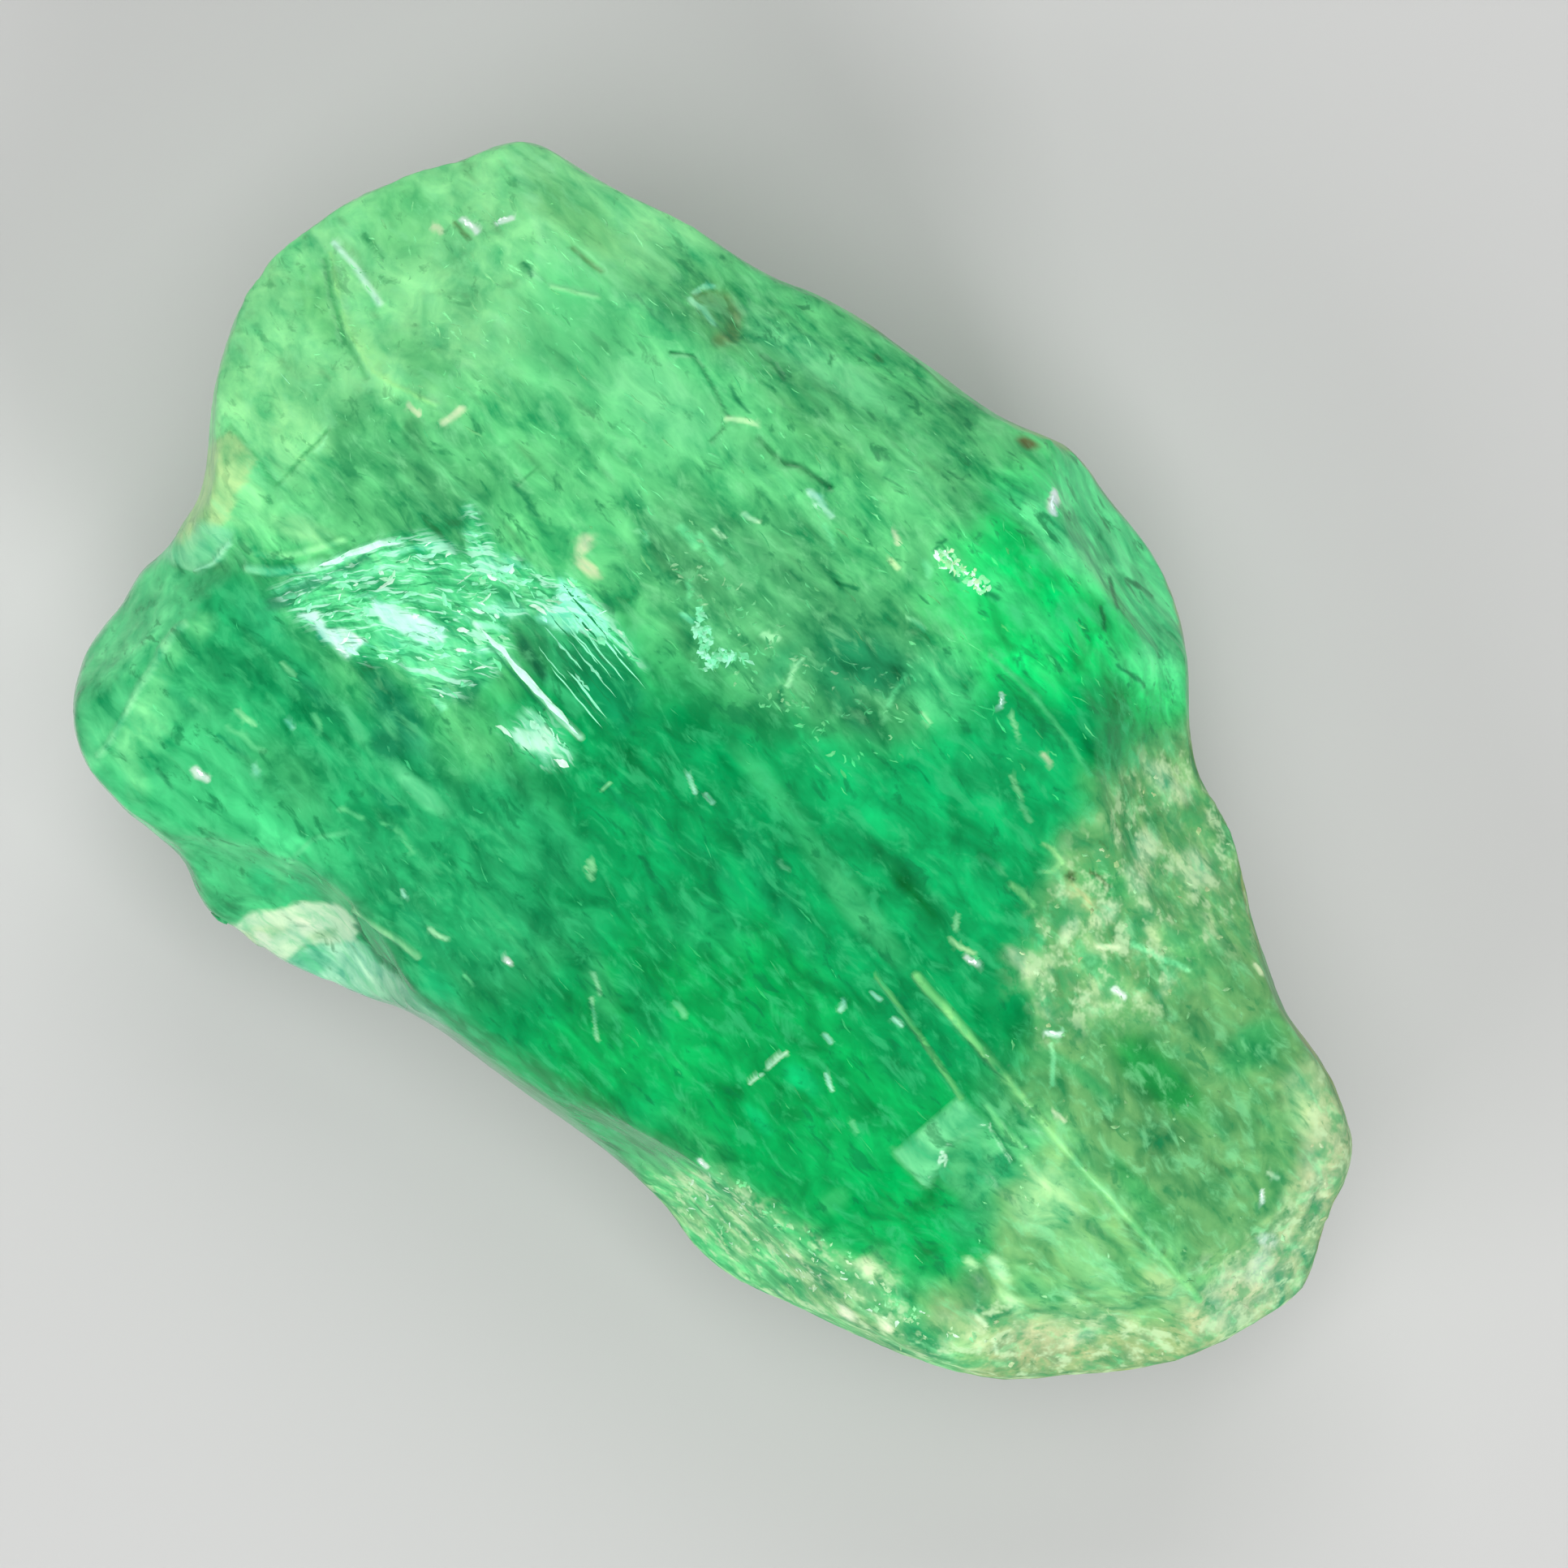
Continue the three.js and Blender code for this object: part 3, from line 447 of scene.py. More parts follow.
# Small marks placed one by one on the surface: colour, width, route.
MARKS = [
    # blunt end
    (WHITE, 0.1, [(-9.97, 3.3), (-9.93, 3.42), (-9.85, 3.55)]),
    (WHITE, 0.14, [(-10.4, 2.93), (-10.25, 2.95), (-10.08, 2.97)]),
    (OLIVE, 0.09, [(-10.45, 2.8), (-10.25, 2.76), (-10.08, 2.8)]),
    (CREAM, 0.1, [(-10.66, 2.52), (-10.6, 2.54), (-10.52, 2.53)]),
    (PALE, 0.07, [(-8.95, 3.2), (-8.85, 3.18), (-8.72, 3.22)]),
    (DARK, 0.05, [(-9.15, 3.22), (-9.0, 3.2), (-8.9, 3.14)]),
    (CREAM, 0.13, [(-8.12, 0.42), (-8.1, 0.6), (-8.06, 0.82)]),
    (CREAM, 0.09, [(-8.72, 0.22), (-8.6, 0.2), (-8.45, 0.2)]),
    ((70, 170, 105), 0.06, [(-11.4, 1.6), (-11.15, 1.58), (-10.9, 1.57)]),
    (PALE, 0.05, [(-9.25, -1.15), (-9.22, -1.3), (-9.2, -1.45)]),
    # upper face
    ((182, 246, 180), 0.09, [(-4.98, 3.93), (-4.8, 4.1), (-4.6, 4.2)]),
    ((190, 255, 225), 0.13, [(-3.14, 4.12), (-2.98, 4.18), (-2.82, 4.1)]),
    ((190, 255, 220), 0.1, [(-2.95, 4.03), (-2.8, 4.08), (-2.62, 4.1)]),
    (MIST, 0.08, [(-2.6, 3.92), (-2.45, 3.9), (-2.3, 3.82)]),
    ((188, 250, 195), 0.1, [(-3.68, 3.08), (-3.55, 3.1), (-3.36, 3.16)]),
    ((180, 246, 190), 0.08, [(-3.78, 2.54), (-3.7, 2.56), (-3.58, 2.6)]),
    (DARK, 0.07, [(-5.3, 4.3), (-5.1, 4.27), (-4.85, 4.27)]),
    (DARK, 0.06, [(-6.6, 0.62), (-6.3, 0.58), (-5.95, 0.55)]),
    (DEEP, 0.06, [(-2.45, 3.04), (-2.35, 3.02), (-2.22, 3.03)]),
    (DEEP, 0.07, [(-1.8, 3.45), (-1.65, 3.52), (-1.45, 3.62)]),
    ((150, 245, 190), 0.15, [(-6.85, 4.83), (-6.6, 4.9), (-6.3, 4.84)]),
    ((150, 240, 190), 0.07, [(-6.9, 4.98), (-6.85, 5.12), (-6.75, 5.25)]),
    (MIST, 0.15, [(-1.02, 4.76), (-0.93, 4.74), (-0.85, 4.66)]),
    (DEEP, 0.05, [(-1.1, 5.0), (-1.12, 5.12), (-1.05, 5.25)]),
    (DEEP, 0.06, [(-0.6, 4.95), (-0.5, 4.92), (-0.42, 4.95)]),
    (DEEP, 0.14, [(0.0, 5.15), (0.1, 5.2), (0.2, 5.18)]),
    (CREAM, 0.11, [(-1.7, 4.7), (-1.64, 4.68), (-1.58, 4.65)]),
    ((190, 246, 175), 0.11, [(-1.46, 4.36), (-1.38, 4.34), (-1.3, 4.33)]),
    (PALE, 0.07, [(-0.52, 3.93), (-0.4, 3.97), (-0.25, 3.98)]),
    (PALE, 0.09, [(0.75, 3.04), (0.85, 3.06), (0.98, 3.04)]),
    (PALE, 0.1, [(-4.65, 1.6), (-4.52, 1.66), (-4.4, 1.6)]),
    ((120, 236, 176), 0.1, [(-3.12, 1.22), (-3.03, 1.24), (-2.95, 1.25)]),
    (MIST, 0.1, [(-3.45, 1.62), (-3.35, 1.6), (-3.25, 1.5)]),
    (MIST, 0.2, [(-4.15, 2.15), (-3.98, 2.14), (-3.8, 2.12)]),
    (MIST, 0.12, [(-3.9, 2.28), (-3.6, 2.28), (-3.3, 2.24)]),
    ((140, 228, 165), 0.08, [(-1.2, 2.15), (-1.18, 1.9), (-1.05, 1.68)]),
    ((140, 228, 165), 0.1, [(-1.75, 2.1), (-1.8, 1.98), (-1.95, 1.95)]),
    (MIST, 0.07, [(0.1, 3.25), (0.18, 2.98), (0.3, 2.7)]),
    (DEEP, 0.1, [(-1.1, 1.6), (-1.0, 1.48), (-0.85, 1.35)]),
    # crest
    ((228, 255, 252), 0.13, [(-0.45, 7.1), (-0.36, 6.95), (-0.2, 6.84)]),
    ((205, 250, 230), 0.07, [(1.42, 4.17), (1.5, 4.12), (1.57, 4.04)]),
    (PALE, 0.05, [(1.78, 4.08), (1.95, 4.0), (2.12, 3.88)]),
    (CREAM, 0.11, [(2.62, 4.02), (2.7, 4.03), (2.78, 4.02)]),
    ((130, 226, 155), 0.08, [(2.55, 3.4), (2.8, 3.34), (3.05, 3.16)]),
    ((130, 226, 155), 0.06, [(3.0, 3.2), (3.15, 3.14), (3.28, 3.13)]),
    (DEEP, 0.08, [(1.25, 6.88), (1.4, 6.75), (1.65, 6.6)]),
    (DEEP, 0.06, [(1.45, 7.08), (1.68, 7.1), (1.92, 7.16)]),
    (DEEP, 0.06, [(2.35, 5.95), (2.6, 5.98), (2.9, 6.0)]),
    (DEEP, 0.05, [(1.5, 6.4), (1.65, 6.3), (1.8, 6.18)]),
    # window
    (WHITE, 0.13, [(4.25, 0.82), (4.35, 0.86), (4.44, 0.93)]),
    ((170, 240, 170), 0.09, [(3.85, 0.84), (4.05, 0.86), (4.3, 1.0)]),
    ((140, 228, 145), 0.14, [(3.86, 2.22), (4.05, 2.25), (4.32, 2.25)]),
    (MIST, 0.08, [(3.15, 2.2), (3.4, 2.22), (3.62, 2.2)]),
    ((150, 225, 145), 0.08, [(4.14, 3.02), (4.12, 2.85), (4.0, 2.66)]),
    ((140, 220, 140), 0.08, [(3.7, 3.04), (3.9, 3.1), (4.12, 3.04)]),
    (PALE, 0.08, [(3.62, 1.2), (3.68, 1.12), (3.76, 1.02)]),
    ((196, 255, 214), 0.07, [(3.4, -2.42), (3.38, -2.6), (3.38, -2.8)]),
    ((196, 255, 214), 0.07, [(3.36, -2.95), (3.35, -3.05), (3.35, -3.18)]),
    (CYAN, 0.08, [(3.36, -1.15), (3.42, -1.2), (3.47, -1.28)]),
    (CYAN, 0.08, [(3.58, -1.76), (3.66, -1.77), (3.74, -1.78)]),
    (CYAN, 0.07, [(3.6, -0.73), (3.7, -0.72), (3.78, -0.71)]),
    (CYAN, 0.07, [(4.2, -0.74), (4.27, -0.74), (4.34, -0.74)]),
    (CYAN, 0.08, [(4.1, -2.2), (4.22, -2.24), (4.34, -2.3)]),
    (MIST, 0.08, [(4.95, -2.36), (5.03, -2.38), (5.1, -2.42)]),
    ((130, 236, 175), 0.1, [(1.0, -0.35), (1.1, -0.38), (1.18, -0.36)]),
    (CYAN, 0.08, [(-1.05, -0.52), (-0.95, -0.56), (-0.8, -0.6)]),
    (CYAN, 0.07, [(-0.65, -0.5), (-0.57, -0.51), (-0.48, -0.52)]),
    (PALE, 0.1, [(-1.12, -2.68), (-1.05, -2.7), (-0.98, -2.75)]),
    (PALE, 0.1, [(-1.08, -2.8), (-1.0, -2.83), (-0.92, -2.85)]),
    ((150, 236, 175), 0.06, [(0.25, -3.9), (0.4, -3.95), (0.6, -4.05)]),
    ((160, 240, 180), 0.06, [(0.55, -4.2), (0.85, -4.35), (1.12, -4.58)]),
    (WHITE, 0.1, [(-0.87, -4.8), (-0.82, -4.79), (-0.76, -4.79)]),
    (MIST, 0.1, [(1.55, -3.2), (1.68, -3.2), (1.8, -3.24)]),
    (PALE, 0.05, [(-1.85, -1.55), (-1.86, -1.65), (-1.84, -1.76)]),
    (DEEP, 0.06, [(-0.65, -2.0), (-0.45, -2.03), (-0.25, -2.06)]),
    # lobe
    (WHITE, 0.15, [(-6.68, -6.42), (-6.55, -6.44), (-6.42, -6.4)]),
    (CYAN, 0.1, [(-6.22, -4.8), (-6.15, -4.8), (-6.08, -4.82)]),
    (CYAN, 0.1, [(-6.03, -5.7), (-5.97, -5.72), (-5.9, -5.72)]),
    (CYAN, 0.06, [(-2.87, -5.26), (-2.82, -5.28), (-2.77, -5.32)]),
    ((170, 246, 185), 0.09, [(-2.1, -5.38), (-1.95, -5.34), (-1.78, -5.28)]),
    (MIST, 0.06, [(-1.15, -5.48), (-1.05, -5.5), (-0.92, -5.5)]),
    (DARK, 0.09, [(-7.08, -6.82), (-6.9, -6.86), (-6.68, -6.9)]),
    (PALE, 0.08, [(-6.9, -5.28), (-6.7, -5.26), (-6.5, -5.22)]),
    (MIST, 0.14, [(-7.5, -5.66), (-7.38, -5.66), (-7.26, -5.64)]),
    (MIST, 0.1, [(-6.8, -5.56), (-6.5, -5.5), (-6.1, -5.42)]),
    ((14, 156, 98), 0.08, [(-6.8, -5.76), (-6.6, -5.76), (-6.3, -5.7)]),
    (MIST, 0.1, [(-4.55, -5.12), (-4.4, -5.05), (-4.2, -4.94)]),
    (MIST, 0.05, [(-3.95, -4.78), (-3.6, -4.7), (-3.2, -4.72)]),
    (PALE, 0.09, [(-6.95, -4.2), (-6.82, -4.22), (-6.7, -4.22)]),
    (MIST, 0.09, [(-6.0, -4.4), (-5.85, -4.44), (-5.7, -4.52)]),
    ((120, 235, 170), 0.12, [(-4.85, -2.72), (-4.75, -2.75), (-4.62, -2.76)]),
    # haze and crust
    (WHITE, 0.12, [(6.25, 2.28), (6.34, 2.3), (6.46, 2.33)]),
    (WHITE, 0.08, [(6.02, 1.0), (6.12, 1.06), (6.24, 1.12)]),
    (PALE, 0.09, [(6.2, 0.9), (6.45, 0.75), (6.75, 0.48)]),
    (PALE, 0.1, [(5.95, 3.05), (6.4, 3.2), (6.9, 3.42)]),
    (CREAM, 0.12, [(5.6, 2.6), (5.7, 2.66), (5.8, 2.76)]),
    (CREAM, 0.07, [(10.2, 2.1), (10.28, 2.12), (10.38, 2.18)]),
    (WHITE, 0.07, [(10.36, 1.82), (10.42, 1.78), (10.48, 1.72)]),
    (CREAM, 0.05, [(7.1, 0.2), (7.2, 0.2), (7.32, 0.2)]),
    (CREAM, 0.06, [(7.55, 4.26), (7.65, 4.27), (7.75, 4.27)]),
    (WHITE, 0.1, [(3.72, -4.67), (3.78, -4.68), (3.85, -4.67)]),
    (CREAM, 0.08, [(8.66, -2.98), (8.74, -2.98), (8.82, -2.99)]),
    (CREAM, 0.09, [(9.1, -3.05), (9.2, -3.1), (9.3, -3.14)]),
    ((80, 110, 60), 0.05, [(4.6, 3.3), (4.75, 3.34), (4.95, 3.38)]),
    ((84, 120, 66), 0.06, [(4.3, 3.75), (4.38, 3.78), (4.48, 3.78)]),
]

# Where the fracture splintered and catches the light. Over these outlines the surface, its shards and its
# lines get painted highlights: white-cyan colour in place of that light.
BROKEN_BAND = [
    (-7.95, -3.5), (-7.62, -2.3), (-7.35, -1.6), (-6.95, -1.0), (-6.4, -0.85), (-5.5, -0.8),
    (-4.6, -1.2), (-4.4, -2.0), (-4.75, -2.75), (-5.6, -2.75), (-6.2, -3.3), (-7.4, -3.55),
]
BROKEN_TOP = [
    (-6.85, -0.15), (-6.0, -0.3), (-5.3, -0.15), (-4.8, 0.28), (-3.6, 0.3), (-2.9, 0.15),
    (-3.3, -0.05), (-4.3, -0.3), (-4.9, -0.8), (-5.3, -1.3), (-5.8, -1.25), (-6.2, -0.8),
]
BROKEN_SPUR = [(-3.75, -2.3), (-2.9, -2.35), (-2.5, -1.7), (-3.3, -1.5), (-3.65, -1.7)]
BROKEN = [BROKEN_BAND, BROKEN_TOP, BROKEN_SPUR]

# How much further out the natural outline stands, or less: centre, reach, rise in millimetres.
OUTLINE = [
    ((-11.9, 2.4), 2.4, -0.2), ((-4.2, -7.7), 1.3, 0.32), ((-8.9, -6.4), 2.4, 0.2),
    ((-9.4, -4.3), 1.0, 0.16),
    ((9.0, -4.4), 1.8, 0.16), ((10.0, 3.9), 1.4, 0.16), ((6.0, -5.4), 1.6, 0.08),
]


# ---- The crystal's surface ----
def coordinates(mesh):
    flat = np.empty(len(mesh.vertices) * 3)
    mesh.vertices.foreach_get("co", flat)
    return flat.reshape(-1, 3)


def remeshed(source, voxel):
    """An even fine mesh over a node, in millimetres."""
    mesh = source.data.copy()
    mesh.transform(Matrix.Scale(1 / MM, 4))
    work = bpy.data.objects.new("work", mesh)
    bpy.context.scene.collection.objects.link(work)
    change = work.modifiers.new("voxels", "REMESH")
    change.mode = "VOXEL"
    change.voxel_size = voxel
    done = bpy.data.meshes.new_from_object(work.evaluated_get(bpy.context.evaluated_depsgraph_get()))
    bpy.data.objects.remove(work)
    return done


def relax(mesh, rounds, share=0.5):
    """Draws each point towards its neighbours' middle some rounds."""
    points = coordinates(mesh)
    ends = np.empty(len(mesh.edges) * 2, np.int32)
    mesh.edges.foreach_get("vertices", ends)
    a, b = ends.reshape(-1, 2).T
    count = np.bincount(a, minlength=len(points)) + np.bincount(b, minlength=len(points))
    for _ in range(rounds):
        middle = [
            np.bincount(a, points[b, axis], len(points)) + np.bincount(b, points[a, axis], len(points))
            for axis in range(3)
        ]
        points += share * (np.transpose(middle) / count[:, None] - points)
    mesh.vertices.foreach_set("co", points.ravel())
    mesh.update()


def refine(mesh, wanted):
    """Cuts in four each face that wanted(centres, normals) picks, and fits its neighbours to it."""
    centres, normals = np.empty(len(mesh.polygons) * 3), np.empty(len(mesh.polygons) * 3)
    mesh.polygons.foreach_get("center", centres)
    mesh.polygons.foreach_get("normal", normals)
    picked = np.flatnonzero(wanted(centres.reshape(-1, 3), normals.reshape(-1, 3)))
    work = bmesh.new()
    work.from_mesh(mesh)
    work.faces.ensure_lookup_table()
    edges = dict.fromkeys(edge for index in picked for edge in work.faces[index].edges)
    bmesh.ops.subdivide_edges(work, edges=list(edges), cuts=1, use_grid_fill=True)
    work.to_mesh(mesh)
    work.free()
    mesh.update()


def near_a_line(centres, normals):
    centres = seen(centres)
    near = np.any([within(centres, outline) for outline in BROKEN], axis=0)
    for width, route in [line[3:] for line in LINES] + [mark[1:] for mark in MARKS]:
        near |= reach_to(centres, route) < width / 2 + 0.04
    return near & (normals[:, 2] > 0.3)


COARSE = 0.178  # millimetres between points where the surface isn't refined
surface = remeshed(frame["nodes"][NODE], COARSE)
surface.materials.clear()
relax(surface, 3)
refine(surface, lambda centres, normals: normals[:, 2] > 0.25)
relax(surface, 2)
refine(surface, near_a_line)
relax(surface, 1)

p = coordinates(surface)
normals = np.empty(len(p) * 3)
surface.vertices.foreach_get("normal", normals)
n = normals.reshape(-1, 3)
topside = smooth(0.0, 0.3, n[:, 2])


def warped(points):
    """The points as seen, shifted so that a mask's straight edges turn natural: far and near ones."""
    flat = [fractal(points, 1.5, SEED + 30), fractal(points, 1.5, SEED + 40), np.zeros(len(points))]
    fine = [fractal(points, 0.35, SEED + 50, 2), fractal(points, 0.35, SEED + 60, 2),
        np.zeros(len(points))]
    near = seen(points) + 0.07 * np.transpose(fine)
    wander = 0.75 + 0.9 * np.clip(4.3 - points[:, 2], 0, 4)
    return near + np.transpose(wander * flat), near


def over_girdle(points):
    """How far points lie above the plane of the crystal's widest outline."""
    level = GIRDLE + GIRDLE_SLOPE[0] * points[:, 0] + GIRDLE_SLOPE[1] * points[:, 1]
    return points[:, 2] - level


def crust_on(far):
    """Where the crust clings: less of it on the sides, low down."""
    most = np.max([region(far, outline, soft) for soft, outline in CRUSTS.values()], axis=0)
    return most * (0.15 + 0.85 * smooth(-2.2, 0.2,
        over_girdle(far) + 0.9 * fractal(far, 1.3, SEED + 170, 3)))


def band_angle(x):
    """Which way the broken band's shards point, in degrees: steep at its outer end, level at its inner."""
    return np.interp(x, [-8.0, -7.0, -6.2, -5.2, -4.4, -3.4], [64, 56, 38, 30, 32, 2])


def flow(points):
    """Millimetres along and across the shards' own curved direction."""
    xs = np.linspace(-14, 14, 400)
    slope = np.radians(band_angle(xs))
    along = np.cumsum(1 / np.cos(slope)) * (xs[1] - xs[0])
    rise = np.cumsum(np.tan(slope)) * (xs[1] - xs[0])
    x, y, z = points.T
    return np.column_stack([np.interp(x, xs, along), y - np.interp(x, xs, rise), z])


def broken_at(near):
    return np.max([region(near, outline, 0.3) for outline in BROKEN], axis=0)


far, near = warped(p)
drawn = seen(p) + 0.35 * (near - seen(p))
streamed = flow(near)
crust = crust_on(far)
window = region(far, REGIONS["window"][2], 1.5)
blunt = region(far, REGIONS["blunt_end"][2], 1.5)
lobe = region(far, REGIONS["lobe"][2], 1.3)
haze = np.maximum(region(far, REGIONS["upper_haze"][2], 0.8),
    region(far, REGIONS["lower_haze"][2], 0.5))
broken = broken_at(near) * topside


def growth_steps(points):
    """Low terraces drawn out along the crystal's axis, as growth leaves them."""
    level = 4.5 * fractal(points, (8.0, 1.3, 1.3), SEED + 70, 3)
    return np.floor(level) + smooth(0.3, 0.7, level - np.floor(level)) - 0.5


def lift_of(p):
    """How far the surface stands off the smoothed solid, in millimetres."""
    lift = 0.10 * fractal(p, 3.6, SEED, 3)
    plain = (1 - crust) * (1 - 0.75 * window) * (1 - 0.7 * lobe)
    lift += 0.022 * growth_steps(p) * plain
    lift += 0.016 * fractal(p, (5.0, 0.3, 0.3), SEED + 1, 2) * (1 - crust) * (1 - 0.5 * window)
    lift += 0.03 * fractal(p, (1.6, 0.8, 0.8), SEED + 2, 3) * (1 - 0.5 * window)
    ripple = np.hypot(p[:, 0] + 3.2, p[:, 1] + 8.6)
    lift += 0.012 * np.sin(ripple * 7.0 + 2.5 * fractal(p, 2.0, SEED + 3, 2)) * lobe
    lift += crust * (0.09 * fractal(p, 0.9, SEED + 4, 4) + 0.03 * fractal(p, 0.3, SEED + 5, 2))
    shards = np.abs(fractal(streamed, (1.1, 0.26, 1.0), SEED + 6, 3))
    lift += broken * (0.10 * (0.25 - shards))
    for _, _, rise, width, route in LINES:
        lift += rise * smooth(1.0, 0.3, reach_to(drawn, route) / (width / 2 + 0.02)) * topside
    lift += 0.06 * region(near, STEP, 0.12) * topside
    rim = smooth(0.6, 0.2, np.abs(n[:, 2]))
    lift = lift * (1 - 0.4 * rim) - 0.04 * rim
    for centre, reach, rise in OUTLINE:
        lift += rise * spot(p, centre, (reach, reach), 0)
    return lift * smooth(0.0, 0.5, p[:, 2])


lifted = p + n * lift_of(p)[:, None]


def stroke(points, width, route, soft):
    """1 on a route of some width seen from above, and 0 off it."""
    return smooth(1.0, soft, reach_to(points, route) / (width / 2 + 0.02))


def ground(points):
    """The colour of the surface without its lines, at points in millimetres."""
    far, near = warped(points)
    tint = np.tile(tone((88, 200, 123)), (len(points), 1))
    for colour, soft, outline in REGIONS.values():
        tint = over(tint, tone(colour), region(far, outline, soft))
    cloud = fractal(points, (1.5, 0.7, 0.9), SEED + 80, 4)
    tint *= (1 + 0.34 * cloud)[:, None]
    silk = fractal(points, (2.6, 0.24, 0.3), SEED + 90, 3, 0.6)
    wisp = smooth(0.12, 0.55, silk) * (1 - 0.6 * crust_on(far))
    slit = smooth(0.15, 0.6, fractal(points, (1.7, 0.2, 0.3), SEED + 100, 3, 0.6))
    calm = region(far, REGIONS["window"][2], 1.5)
    tint = over(tint, tint * 0.6 + 0.4 * tone(MIST), (0.7 - 0.6 * calm) * wisp)
    tint = over(tint, tint * 0.62, 0.8 * slit)
    mottle = smooth(-0.1, 0.25, fractal(points, (0.9, 0.7, 0.7), SEED + 110, 4))
    grit = smooth(0.02, 0.3, fractal(points, (0.42, 0.34, 0.4), SEED + 120, 3))
    skin = crust_on(far)
    tint = over(tint, tone((124, 188, 124)), 0.75 * skin * mottle)
    tint = over(tint, tone((184, 214, 164)), 0.5 * skin * grit * (0.35 + 0.65 * mottle))
    streams = flow(near)
    splinter = fractal(streams, (1.3, 0.24, 1.0), SEED + 140, 3, 0.6)
    shattered = broken_at(near)
    # the broken band: painted paler, with pale splinters painted as highlights where its shards catch the
    # light, and dark slits between them
    tint = over(tint, tone((80, 214, 142)), 0.6 * shattered)
    tint = over(tint, tone((140, 240, 190)), 0.85 * shattered * smooth(0.08, 0.35, splinter))
    tint = over(tint, tone(DARK), 0.7 * shattered * smooth(-0.1, -0.35, splinter))
    above = smooth(-1.3, -0.1, over_girdle(points) + 0.6 * fractal(points, 1.2, SEED + 160, 2))
    for colour, share, centre, radii, turn in SPOTS:
        tint = over(tint, tone(colour), share * spot(near, centre, radii, turn) * above)
    for colour, share, soft, outline in PATCHES:
        tint = over(tint, tone(colour), share * region(near, outline, soft) * above)
    return tint


tint = ground(p)
for colour, share, _, width, route in LINES:
    tint = over(tint, tone(colour), share * stroke(drawn, width, route, 0.1) * topside)
for colour, width, route in MARKS:
    tint = over(tint, tone(colour), 0.85 * stroke(near, width, route, 0.25) * topside)
girdle = smooth(0.45, 0.1, np.abs(n[:, 2])) * smooth(-0.2, 0.3, fractal(p, 1.4, SEED + 130, 3))
stained = girdle * smooth(2.0, 5.0, p[:, 1] + 0.45 * p[:, 0]) * smooth(2.5, 4.8, p[:, 2])
tint = over(tint, tone(STAIN), 0.7 * stained)
tint = np.clip(tint, 0, 1)
gloss = np.clip(0.30 - 0.12 * window - 0.1 * lobe - 0.14 * broken + 0.10 * haze + 0.3 * crust, 0.12,
    0.65)
clear = np.clip(0.22 + 0.14 * window + 0.1 * lobe - 0.1 * haze - 0.2 * crust - 0.12 * broken, 0.03, 0.4)
upper_left = region(far, REGIONS["upper_left"][2], 2.5)
grain = 1.0 - 0.15 * window - 0.1 * lobe - 0.2 * haze - 0.3 * broken - 0.45 * blunt - 0.4 * upper_left
grain = np.clip(grain, 0.3, 1) * (1 - 0.6 * smooth(0.3, 0.7, tint[:, 0]))
fibre = 1.0 - 0.75 * window - 0.8 * lobe - 0.8 * haze - 0.7 * crust - 0.6 * blunt - 0.5 * upper_left
fibre = np.clip(fibre, 0.1, 1)
milk = np.clip(1 - 0.95 * window - 0.7 * lobe - 0.8 * region(far, REGIONS["crest"][2], 1.3), 0.05, 1)

surface.vertices.foreach_set("co", (lifted * MM).ravel())
colours = surface.attributes.new("tint", "FLOAT_COLOR", "POINT")
colours.data.foreach_set("color", np.column_stack([tint, np.ones(len(p))]).astype(np.float32).ravel())
layers = {
    "gloss": gloss, "clear": clear, "grain": grain, "crust": crust,
    "broken": broken, "milk": milk, "fibre": fibre,
}
for name, values in layers.items():
    surface.attributes.new(name, "FLOAT", "POINT").data.foreach_set("value", values.astype(np.float32))
level = np.zeros(len(p))
bent = np.column_stack([level, 0.55 * fractal(p, (3.0, 2.2, 2.2), SEED + 150, 2), level])
for name, values in (("flow", streamed), ("lie", p + bent)):
    surface.attributes.new(name, "FLOAT_VECTOR", "POINT").data.foreach_set("vector",
        values.astype(np.float32).ravel())
surface.polygons.foreach_set("use_smooth", [True] * len(surface.polygons))
surface.update()
body = bpy.data.objects.new("emerald_body", surface)
bpy.context.scene.collection.objects.link(body)
triangles = sum(len(face.vertices) - 2 for face in surface.polygons)
print("body:", len(p), "points,", triangles, "triangles")


